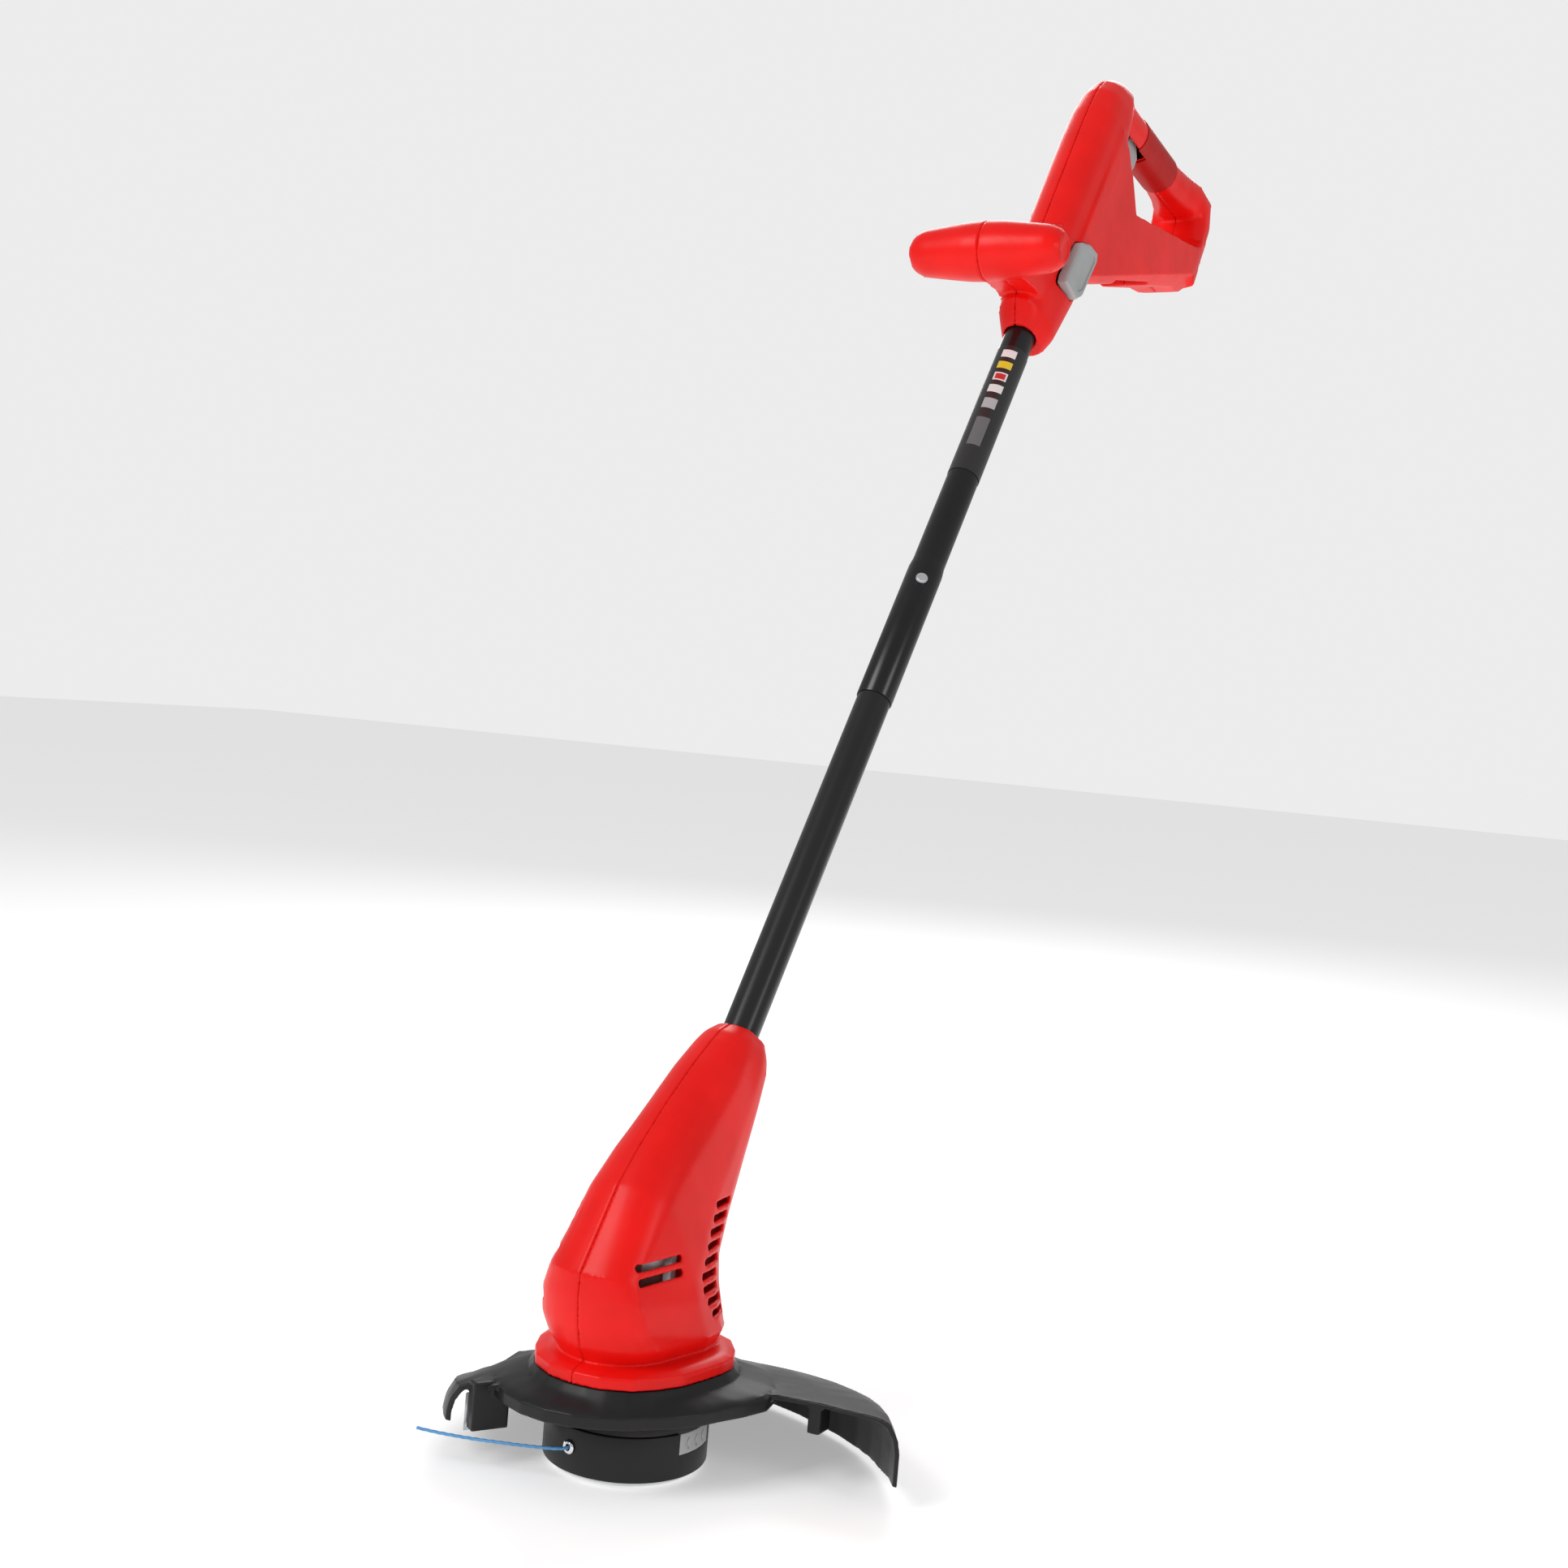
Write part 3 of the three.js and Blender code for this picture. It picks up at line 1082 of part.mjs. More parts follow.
const housing = motorHousing();
node(trimmer, 'motor_housing_left', half(housing, 1), 'red');
node(trimmer, 'motor_housing_right', half(housing, -1), 'red');
HOUSING_SCREWS.forEach(([y, z], i) => {
  node(trimmer, `housing_screw_${i + 1}`, sideScrew(SEAT_X - GAP, y, z), 'steel');
});
node(trimmer, 'motor_can', motorCan(), 'steel');
node(trimmer, 'field_magnet_left', fieldMagnet(1), 'black');
node(trimmer, 'field_magnet_right', fieldMagnet(-1), 'black');
node(trimmer, 'end_bell', endBell(), 'black');
node(trimmer, 'motor_bracket', motorBracket(), 'steel');
node(trimmer, 'motor_screw_left', motorScrew(14), 'steel');
node(trimmer, 'motor_screw_right', motorScrew(-14), 'steel');
node(trimmer, 'upper_bearing', bearing(MOTOR_TOP - 5.6, MOTOR_TOP - 0.2), 'steel');
node(trimmer, 'lower_bearing', bearing(MOTOR_BOTTOM - 1, MOTOR_BOTTOM + 4), 'steel');
node(trimmer, 'carbon_brush_left', brush(1), 'copper');
node(trimmer, 'carbon_brush_right', brush(-1), 'copper');
node(trimmer, 'guard', guard(), 'black');
GUARD_SCREWS.forEach(([x, y], i) => {
  node(trimmer, `guard_screw_${i + 1}`, guardScrew(x, y), 'steel');
});
node(trimmer, 'cut_off_blade', cutOffBlade(), 'steel');
BLADE_SCREW_Z.forEach((z, i) => {
  node(trimmer, `blade_screw_${i + 1}`, bladeScrew(z), 'steel');
});

node(trimmer, 'arbor', arbor(), 'steel');
node(trimmer, 'armature', armature(), 'copper');
node(trimmer, 'commutator', commutator(), 'copper');
node(trimmer, 'cooling_fan', coolingFan(), 'black');
node(trimmer, 'spool_driver', spoolDriver(), 'grey');
node(trimmer, 'spool_cover', spoolCover(), 'black');
node(trimmer, 'line_eyelet', lineEyelet(), 'steel');
node(trimmer, 'cutting_line', cuttingLine(), 'line');
node(trimmer, 'bump_spring', bumpSpring(), 'steel');
node(trimmer, 'line_reel', lineReel(), 'black');
node(trimmer, 'wound_line', woundLine(), 'line');
node(trimmer, 'bump_knob', bumpKnob(), 'grey');

export default trimmer;
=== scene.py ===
"""A cordless string trimmer: moulded shells, enamelled shaft, guard and line head, on a pale floor."""

import json
import logging
import math
from dataclasses import dataclass, field
from enum import Enum

import bmesh
import bpy
from mathutils import Matrix, Vector

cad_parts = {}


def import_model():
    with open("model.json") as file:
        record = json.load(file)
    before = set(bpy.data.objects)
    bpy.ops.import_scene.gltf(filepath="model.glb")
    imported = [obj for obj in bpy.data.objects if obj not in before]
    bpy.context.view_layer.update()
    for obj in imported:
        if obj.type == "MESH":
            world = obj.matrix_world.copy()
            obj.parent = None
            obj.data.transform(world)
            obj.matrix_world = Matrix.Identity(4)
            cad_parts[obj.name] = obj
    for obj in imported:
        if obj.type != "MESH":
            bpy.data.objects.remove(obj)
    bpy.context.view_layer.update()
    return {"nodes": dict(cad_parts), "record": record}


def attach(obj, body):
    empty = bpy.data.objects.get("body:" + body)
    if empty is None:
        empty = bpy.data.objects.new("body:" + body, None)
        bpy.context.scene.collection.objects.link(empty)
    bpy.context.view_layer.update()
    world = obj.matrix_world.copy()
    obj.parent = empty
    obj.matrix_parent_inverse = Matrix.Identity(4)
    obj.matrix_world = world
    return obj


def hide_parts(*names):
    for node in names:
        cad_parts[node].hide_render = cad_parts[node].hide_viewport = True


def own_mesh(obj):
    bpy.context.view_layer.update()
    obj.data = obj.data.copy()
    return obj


LOG = logging.getLogger("trimmer")
MM = 0.001
SEAM = 0.08 * MM  # from the parting plane to the edge of each half shell
TILT = math.radians(34.4)
AXES_CROSS = Vector((0.0, 0.0, 0.103))
SHAFT_TO_WORLD = Matrix.Translation(AXES_CROSS) @ Matrix.Rotation(-TILT, 4, "X")
SHARP_EDGE = math.radians(40)
BEVELLED_EDGE = math.radians(28)
WELD = 1e-6  # corners closer than this are one corner
SIDES = (("left", 1), ("right", -1))


class Slot(Enum):
    """The record's material slots that new pieces take their finish from."""

    RED = "moulded_red"
    GRIP = "overmould_red"
    BLACK = "moulded_black"
    GREY = "moulded_grey"
    TUBE = "black_tube"
    LABEL = "label_film"
    LINE = "blue_line"
    STEEL = "plated_steel"
    CHROME = "bright_chrome"
    COPPER = "copper"


# ---------------------------------------------------------------- finishes


@dataclass(frozen=True)
class Finish:
    """A procedural finish: a base colour with drift, a grain and scuffed edges.

    The scales are per metre on object coordinates, and the edge band is a range of pointiness.
    """

    name: str
    colour: tuple[float, float, float]
    roughness: float = 0.35
    metallic: float = 0.0
    grain_scale: float = 1800.0
    grain: float = 0.05
    drift: float = 0.06
    edge: float = 0.25
    specular: float = 0.5
    drift_scale: float = 22.0
    haze_scale: float = 60.0
    edge_band: tuple[float, float] = (0.53, 0.62)
    worn_gain: float = 1.35
    lift: float = 0.02
    drift_band: tuple[float, float] = (0.3, 0.7)
    gloss_spread: tuple[float, float] = (0.85, 1.2)
    grain_height: float = 0.2 * MM

    def make(self) -> bpy.types.Material:
        """Builds the material.

        Returns:
            The node material, made once and then reused.
        """
        if self.name in bpy.data.materials:
            return bpy.data.materials[self.name]
        material = bpy.data.materials.new(self.name)
        material.use_nodes = True
        tree = material.node_tree
        shader = tree.nodes["Principled BSDF"]
        shader.inputs["Metallic"].default_value = self.metallic
        shader.inputs["Specular IOR Level"].default_value = self.specular
        colour = self.colour_nodes(tree)
        tree.links.new(colour, shader.inputs["Base Color"])
        self.surface_nodes(tree, shader)
        return material

    def noise(self, tree: bpy.types.NodeTree, scale: float, detail: float = 4.0) -> bpy.types.Node:
        """Adds a noise texture on object coordinates.

        Args:
            tree: The node tree.
            scale: Texture scale, per metre.
            detail: Octaves of detail.

        Returns:
            The noise node.
        """
        place = tree.nodes.new("ShaderNodeTexCoord")
        noise = tree.nodes.new("ShaderNodeTexNoise")
        noise.inputs["Scale"].default_value = scale
        noise.inputs["Detail"].default_value = detail
        tree.links.new(place.outputs["Object"], noise.inputs["Vector"])
        return noise

    def colour_nodes(self, tree: bpy.types.NodeTree) -> bpy.types.NodeSocket:
        """Adds the base colour: slow drift, and a paler worn edge.

        Args:
            tree: The node tree.

        Returns:
            The colour's output socket.
        """
        base = self.colour
        dark = tuple(c * (1.0 - self.drift * 2) for c in base) + (1.0,)
        light = tuple(min(1.0, c * (1.0 + self.drift) + self.drift * self.lift) for c in base) + (1.0,)
        drift = self.noise(tree, self.drift_scale)
        ramp = tree.nodes.new("ShaderNodeValToRGB")
        ramp.color_ramp.elements[0].position = self.drift_band[0]
        ramp.color_ramp.elements[0].color = dark
        ramp.color_ramp.elements[1].position = self.drift_band[1]
        ramp.color_ramp.elements[1].color = light
        tree.links.new(drift.outputs["Fac"], ramp.inputs["Fac"])
        geometry = tree.nodes.new("ShaderNodeNewGeometry")
        edge = tree.nodes.new("ShaderNodeMapRange")
        edge.inputs["From Min"].default_value = self.edge_band[0]
        edge.inputs["From Max"].default_value = self.edge_band[1]
        edge.inputs["To Max"].default_value = self.edge
        tree.links.new(geometry.outputs["Pointiness"], edge.inputs["Value"])
        mix = tree.nodes.new("ShaderNodeMix")
        mix.data_type = "RGBA"
        worn = tuple(min(1.0, c * self.worn_gain + self.lift) for c in base) + (1.0,)
        mix.inputs["B"].default_value = worn
        tree.links.new(edge.outputs["Result"], mix.inputs["Factor"])
        tree.links.new(ramp.outputs["Color"], mix.inputs["A"])
        return mix.outputs["Result"]

    def surface_nodes(self, tree: bpy.types.NodeTree, shader: bpy.types.Node) -> None:
        """Adds the uneven gloss and the fine grain.

        Args:
            tree: The node tree.
            shader: The principled shader.
        """
        haze = self.noise(tree, self.haze_scale)
        gloss = tree.nodes.new("ShaderNodeMapRange")
        gloss.inputs["To Min"].default_value = self.roughness * self.gloss_spread[0]
        gloss.inputs["To Max"].default_value = min(1.0, self.roughness * self.gloss_spread[1])
        tree.links.new(haze.outputs["Fac"], gloss.inputs["Value"])
        tree.links.new(gloss.outputs["Result"], shader.inputs["Roughness"])
        grain = self.noise(tree, self.grain_scale, 2.0)
        bump = tree.nodes.new("ShaderNodeBump")
        bump.inputs["Strength"].default_value = self.grain
        bump.inputs["Distance"].default_value = self.grain_height
        tree.links.new(grain.outputs["Fac"], bump.inputs["Height"])
        tree.links.new(bump.outputs["Normal"], shader.inputs["Normal"])


@dataclass(frozen=True)
class Patch:
    """A plain block on the label film: its place along the film, its half sizes and its colour."""

    along: float
    half_across: float
    half_along: float
    colour: tuple[float, float, float]


@dataclass(frozen=True)
class LabelFinish(Finish):
    """A black printed film with plain blocks of colour, placed on the film's own UV map."""

    across: float = 0.12
    patches: tuple[Patch, ...] = (
        Patch(0.935, 0.075, 0.030, (0.75, 0.75, 0.74)),
        Patch(0.840, 0.075, 0.028, (0.72, 0.55, 0.03)),
        Patch(0.745, 0.070, 0.032, (0.70, 0.70, 0.69)),
        Patch(0.745, 0.052, 0.022, (0.55, 0.03, 0.03)),
        Patch(0.645, 0.075, 0.030, (0.70, 0.70, 0.69)),
        Patch(0.525, 0.070, 0.040, (0.40, 0.41, 0.42)),
        Patch(0.300, 0.070, 0.110, (0.13, 0.13, 0.135)),
    )

    def colour_nodes(self, tree: bpy.types.NodeTree) -> bpy.types.NodeSocket:
        """Adds the film's colour, with each block laid over it.

        Args:
            tree: The node tree.

        Returns:
            The colour's output socket.
        """
        socket = super().colour_nodes(tree)
        uv = tree.nodes.new("ShaderNodeUVMap")
        uv.uv_map = "film"
        split = tree.nodes.new("ShaderNodeSeparateXYZ")
        tree.links.new(uv.outputs["UV"], split.inputs["Vector"])
        for patch in self.patches:
            inside = self.inside(tree, split, "X", self.across, patch.half_across)
            other = self.inside(tree, split, "Y", patch.along, patch.half_along)
            both = tree.nodes.new("ShaderNodeMath")
            both.operation = "MULTIPLY"
            tree.links.new(inside, both.inputs[0])
            tree.links.new(other, both.inputs[1])
            mix = tree.nodes.new("ShaderNodeMix")
            mix.data_type = "RGBA"
            mix.inputs["B"].default_value = (*patch.colour, 1.0)
            tree.links.new(both.outputs["Value"], mix.inputs["Factor"])
            tree.links.new(socket, mix.inputs["A"])
            socket = mix.outputs["Result"]
        return socket

    def inside(self, tree: bpy.types.NodeTree, split: bpy.types.Node, axis: str,
               middle: float, half: float) -> bpy.types.NodeSocket:
        """Adds a test of whether a UV coordinate lies in a band.

        Args:
            tree: The node tree.
            split: The node that gives the coordinates.
            axis: Which coordinate, X or Y.
            middle: The band's middle.
            half: The band's half-width.

        Returns:
            A socket that is 1 inside the band and 0 outside it.
        """
        test = tree.nodes.new("ShaderNodeMath")
        test.operation = "COMPARE"
        test.inputs[1].default_value = middle
        test.inputs[2].default_value = half
        tree.links.new(split.outputs[axis], test.inputs[0])
        return test.outputs["Value"]


RED = Finish("gloss_red_plastic", (0.86, 0.006, 0.004), roughness=0.33, grain=0.03, specular=0.22)
GRIP_RED = Finish("grip_red_plastic", (0.46, 0.008, 0.006), roughness=0.50, grain=0.10, specular=0.2)
BLACK = Finish("satin_black_plastic", (0.009, 0.009, 0.010), roughness=0.40, grain=0.12, edge=0.5,
               specular=0.30)
# Knob grey, lightened well above the buttons' grey: a painted reflection of the white floor on the knob's
# downward-facing rim, which sits in shade.
KNOB_GREY_WITH_PAINTED_REFLECTION = Finish("knob_grey_painted_reflection", (0.74, 0.75, 0.76), roughness=0.30, grain=0.05)
GREY = Finish("satin_grey_plastic", (0.40, 0.405, 0.41), roughness=0.40, grain=0.08)
ENAMEL = Finish("black_enamel", (0.006, 0.006, 0.007), roughness=0.24, grain=0.02, specular=0.4)
STEEL = Finish("zinc_steel", (0.58, 0.59, 0.60), roughness=0.34, metallic=1.0, grain=0.05)
CHROME = Finish("bright_chrome", (0.86, 0.86, 0.87), roughness=0.10, metallic=1.0, grain=0.01, edge=0.0)
COPPER = Finish("drawn_copper", (0.62, 0.30, 0.15), roughness=0.35, metallic=1.0)
NYLON = Finish("blue_nylon", (0.10, 0.33, 0.66), roughness=0.38, drift=0.12, grain=0.04)
FILM = LabelFinish("printed_film", (0.014, 0.014, 0.015), roughness=0.30, grain=0.02)
FLOOR = Finish("pale_floor", (0.86, 0.86, 0.86), roughness=0.8, drift=0.004, grain=0.0, edge=0.0,
               specular=0.2)

SLOT_FINISH = {
    Slot.RED: RED, Slot.GRIP: GRIP_RED, Slot.BLACK: BLACK, Slot.GREY: GREY, Slot.TUBE: ENAMEL,
    Slot.LABEL: FILM, Slot.LINE: NYLON, Slot.STEEL: STEEL, Slot.CHROME: CHROME, Slot.COPPER: COPPER,
}


# ---------------------------------------------------------------- mesh helpers


def new_piece(name: str, mesh: bmesh.types.BMesh, finish: Finish, sharp: float = 35.0) -> bpy.types.Object:
    """Turns a bmesh into a smooth-shaded object with its finish.

    Args:
        name: The piece's name.
        mesh: The bmesh, which is freed.
        finish: The finish it gets.
        sharp: Edges steeper than this, in degrees, stay sharp.

    Returns:
        The object, linked at the origin.
    """
    data = bpy.data.meshes.new(name)
    mesh.to_mesh(data)
    mesh.free()
    piece = bpy.data.objects.new(name, data)
    bpy.context.collection.objects.link(piece)
    data.shade_smooth()
    data.set_sharp_from_angle(angle=math.radians(sharp))
    data.materials.append(finish.make())
    return piece


def merged_copy(node: bpy.types.Object) -> bmesh.types.BMesh:
    """Copies a CAD node's mesh with its loose corners merged.

    Args:
        node: The CAD node.

    Returns:
        A bmesh of the closed body.
    """
    mesh = bmesh.new()
    mesh.from_mesh(node.data)
    bmesh.ops.remove_doubles(mesh, verts=mesh.verts, dist=WELD)
    return mesh


def smooth(mesh: bmesh.types.BMesh, verts: list[bmesh.types.BMVert], passes: int) -> None:
    """Evens out some of a mesh's corners.

    Args:
        mesh: The bmesh.
        verts: The corners that move.
        passes: How many times they move halfway to their neighbours' middle.
    """
    for _ in range(passes):
        bmesh.ops.smooth_vert(mesh, verts=verts, factor=0.5, use_axis_x=True, use_axis_y=True,
                              use_axis_z=True)


def bake_modifiers(piece: bpy.types.Object) -> None:
    """Applies every modifier of a piece to its mesh.

    Args:
        piece: The piece.
    """
    graph = bpy.context.evaluated_depsgraph_get()
    made = bpy.data.meshes.new_from_object(piece.evaluated_get(graph))
    piece.modifiers.clear()
    old = piece.data
    piece.data = made
    bpy.data.meshes.remove(old)


def stand_for(piece: bpy.types.Object, node: str, body: str) -> bpy.types.Object:
    """Puts a finished piece in place of a CAD node.

    Args:
        piece: The piece.
        node: The CAD node that it replaces.
        body: The body that it rides on.

    Returns:
        The piece.
    """
    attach(piece, body)
    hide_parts(node)
    return piece


@dataclass
class Moulding:
    """A moulded plastic piece: the designed form with its edges run out to small radii.

    Away from edges steeper than the crease, extra passes even out the surface. A half shell's
    seam is the side of the parting plane that it lies on, and 0 is a piece with no parting.
    """

    node: str
    body: str
    slot: Slot
    voxel: float = 1.0 * MM
    passes: int = 2
    seam: float = 0.0
    crease: float = math.radians(13)
    calm_passes: int = 24

    def build(self, nodes: dict[str, bpy.types.Object]) -> bpy.types.Object:
        """Makes the piece from its CAD node.

        Args:
            nodes: The frame's nodes.

        Returns:
            The finished piece.
        """
        finish = SLOT_FINISH[self.slot]
        piece = new_piece(self.node + "_moulded", merged_copy(nodes[self.node]), finish)
        remesh = piece.modifiers.new("even_skin", "REMESH")
        remesh.mode = "VOXEL"
        remesh.voxel_size = self.voxel
        remesh.use_smooth_shade = True
        bake_modifiers(piece)
        mesh = bmesh.new()
        mesh.from_mesh(piece.data)
        near_parting = 0.6 * self.voxel
        parting = [v for v in mesh.verts if self.seam and self.seam * v.co.x < near_parting]
        smooth(mesh, list(mesh.verts), self.passes)
        calm = [v for v in mesh.verts
                if max(e.calc_face_angle(0.0) for e in v.link_edges) < self.crease]
        smooth(mesh, calm, self.calm_passes)
        for vert in parting:
            vert.co.x = self.seam * SEAM
        mesh.to_mesh(piece.data)
        mesh.free()
        piece.data.shade_smooth()
        return stand_for(piece, self.node, self.body)


@dataclass
class EdgedPiece:
    """A plain solid, such as a button or a blade, with its edges bevelled."""

    node: str
    body: str
    slot: Slot
    width: float = 0.9 * MM
    segments: int = 3
    flat: float = 3.0

    def build(self, nodes: dict[str, bpy.types.Object]) -> bpy.types.Object:
        """Makes the piece from its CAD node.

        Args:
            nodes: The frame's nodes.

        Returns:
            The finished piece.
        """
        mesh = merged_copy(nodes[self.node])
        bmesh.ops.dissolve_limit(mesh, angle_limit=math.radians(self.flat), verts=mesh.verts,
                                 edges=mesh.edges)
        piece = new_piece(self.node + "_edged", mesh, SLOT_FINISH[self.slot])
        bevel = piece.modifiers.new("edge", "BEVEL")
        bevel.width = self.width
        bevel.segments = self.segments
        bevel.limit_method = "ANGLE"
        bevel.angle_limit = BEVELLED_EDGE
        bake_modifiers(piece)
        piece.data.shade_smooth()
        piece.data.set_sharp_from_angle(angle=SHARP_EDGE)
        return stand_for(piece, self.node, self.body)


@dataclass
class TurnedPiece:
    """A lathe-turned piece: a closed half outline spun about the spool or the shaft axis."""

    node: str
    body: str
    slot: Slot
    outline: list[tuple[float, float]] = field(default_factory=list)
    steps: int = 96
    on_shaft: bool = False
    finish: Finish | None = None
    sharp: float = 32.0
    cut_by: list[bpy.types.Object] = field(default_factory=list)

    def build(self) -> bpy.types.Object:
        """Spins the outline, cuts it and puts it in place.

        Returns:
            The finished piece.
        """
        mesh = self.spin()
        piece = new_piece(self.node + "_turned", mesh, self.finish or SLOT_FINISH[self.slot], self.sharp)
        for cutter in self.cut_by:
            cut = piece.modifiers.new("cut", "BOOLEAN")
            cut.operation = "DIFFERENCE"
            cut.object = cutter
            cut.solver = "EXACT"
        if self.cut_by:
            bake_modifiers(piece)
            piece.data.set_sharp_from_angle(angle=math.radians(self.sharp))
            for cutter in self.cut_by:
                bpy.data.objects.remove(cutter)
        return stand_for(piece, self.node, self.body)

    def spin(self) -> bmesh.types.BMesh:
        """Spins the closed outline once round.

        Returns:
            The bmesh of the turned body.
        """
        mesh = bmesh.new()
        ring = [mesh.verts.new((r * MM, 0.0, z * MM)) for r, z in self.outline]
        edges = [mesh.edges.new((a, b)) for a, b in zip(ring, ring[1:])]
        if self.outline[0][0] > 0:
            edges.append(mesh.edges.new((ring[-1], ring[0])))
        bmesh.ops.spin(mesh, geom=ring + edges, cent=(0, 0, 0), axis=(0, 0, 1), dvec=(0, 0, 0),
                       angle=math.tau, steps=self.steps, use_merge=True, use_duplicate=False)
        bmesh.ops.remove_doubles(mesh, verts=mesh.verts, dist=WELD)
        bmesh.ops.recalc_face_normals(mesh, faces=mesh.faces)
        if self.on_shaft:
            bmesh.ops.transform(mesh, matrix=SHAFT_TO_WORLD, verts=mesh.verts)
        return mesh


# ---------------------------------------------------------------- sub-assemblies


@dataclass
class CuttingLine:
    """The twisted nylon line, from its eyelet out to its cut end."""

    diameter: float = 2.0 * MM
    exit: tuple[float, float, float] = (-0.0078, -0.0518, 0.0197)
    route: tuple[tuple[float, float, float], ...] = (
        (-0.0069, -0.0466, 0.0197), (-0.0078, -0.0518, 0.0197), (-0.011, -0.0555, 0.0197),
        (-0.018, -0.059, 0.0194), (-0.028, -0.0623, 0.0188), (-0.040, -0.066, 0.0183),
        (-0.052, -0.0697, 0.0179), (-0.064, -0.0736, 0.0178), (-0.076, -0.0776, 0.0181),
        (-0.084, -0.0806, 0.0187), (-0.091, -0.0834, 0.0194),
    )
    steps: int = 9
    sides: int = 18
    lobes: int = 3
    core: float = 0.93
    lobe_depth: float = 0.10
    twist: float = 24.0  # degrees per millimetre

    def path(self) -> list[Vector]:
        """Runs a smooth curve through the route.

        Returns:
            Its points, evenly shared between the route's points.
        """
        points = [Vector(p) for p in self.route]
        ends = [points[0] * 2 - points[1], *points, points[-1] * 2 - points[-2]]
        made = []
        for a, b, c, d in zip(ends, ends[1:], ends[2:], ends[3:]):
            for i in range(self.steps):
                t = i / self.steps
                made.append(0.5 * (2 * b + (c - a) * t + (2 * a - 5 * b + 4 * c - d) * t * t
                                   + (3 * b - a - 3 * c + d) * t ** 3))
        return [*made, points[-1]]

    def build(self) -> bpy.types.Object:
        """Sweeps a lobed section along the path, turning it as it goes.

        Returns:
            The cord.
        """
        path = self.path()
        mesh = bmesh.new()
        section = bmesh.ops.create_circle(mesh, cap_ends=False, segments=self.sides,
                                          radius=self.diameter / 2)["verts"]
        for i, vert in enumerate(section):
            angle = math.tau * i / self.sides
            vert.co *= self.core + self.lobe_depth * math.cos(self.lobes * angle)
        heading = self.heading(path, 0)
        bmesh.ops.transform(mesh, matrix=self.frame(path[0], heading, 0.0), verts=section)
        bmesh.ops.contextual_create(mesh, geom=section)
        loop = list({e for v in section for e in v.link_edges})
        travelled = 0.0
        for i in range(1, len(path)):
            before = self.frame(path[i - 1], self.heading(path, i - 1), self.turn(travelled))
            travelled += (path[i] - path[i - 1]).length
            after = self.frame(path[i], self.heading(path, i), self.turn(travelled))
            made = bmesh.ops.extrude_edge_only(mesh, edges=loop)["geom"]
            verts = [g for g in made if isinstance(g, bmesh.types.BMVert)]
            loop = [g for g in made if isinstance(g, bmesh.types.BMEdge)]
            bmesh.ops.transform(mesh, matrix=after @ before.inverted(), verts=verts)
        bmesh.ops.contextual_create(mesh, geom=loop)
        bmesh.ops.recalc_face_normals(mesh, faces=mesh.faces)
        piece = new_piece("twisted_line", mesh, NYLON, 70.0)
        stand_for(piece, "cutting_line", "rotor")
        return piece

    def turn(self, travelled: float) -> float:
        """Gives the twist at a distance along the line.

        Args:
            travelled: The distance, in metres.

        Returns:
            The twist, in radians.
        """
        return math.radians(self.twist) * travelled / MM

    def heading(self, path: list[Vector], i: int) -> Vector:
        """Gives the path's direction at one of its points.

        Args:
            path: The path's points.
            i: Which point.

        Returns:
            The unit direction.
        """
        return (path[min(i + 1, len(path) - 1)] - path[max(i - 1, 0)]).normalized()

    def frame(self, point: Vector, heading: Vector, turn: float) -> Matrix:
        """Gives the section's frame.

        Args:
            point: Where the section is.
            heading: The direction across it.
            turn: How far it has twisted.

        Returns:
            The matrix from the section to its place.
        """
        side = heading.cross(Vector((0, 0, 1))).normalized()
        up = side.cross(heading)
        axes = Matrix((side, up, heading)).transposed().to_4x4()
        return Matrix.Translation(point) @ axes @ Matrix.Rotation(turn, 4, "Z")


@dataclass
class Handle:
    """The rear handle with its barrel grip, sleeve, trigger and release button."""

    voxel: float = 1.2 * MM
    sleeve_voxel: float = 0.8 * MM

    def build(self, nodes: dict[str, bpy.types.Object]) -> list[bpy.types.Object]:
        """Makes the handle's visible pieces.

        Args:
            nodes: The frame's nodes.

        Returns:
            The pieces.
        """
        shells = [Moulding(f"handle_shell_{side}", "handle", Slot.RED, self.voxel, seam=sign)
                  for side, sign in SIDES]
        sleeve = Moulding("rear_grip_sleeve", "handle", Slot.GRIP, self.sleeve_voxel)
        trigger = EdgedPiece("trigger", "trigger", Slot.GREY, width=1.2 * MM, segments=4, flat=1.0)
        button = EdgedPiece("lock_button", "release_button", Slot.GREY, width=0.5 * MM, flat=1.0)
        return [part.build(nodes) for part in (*shells, sleeve, trigger, button)]


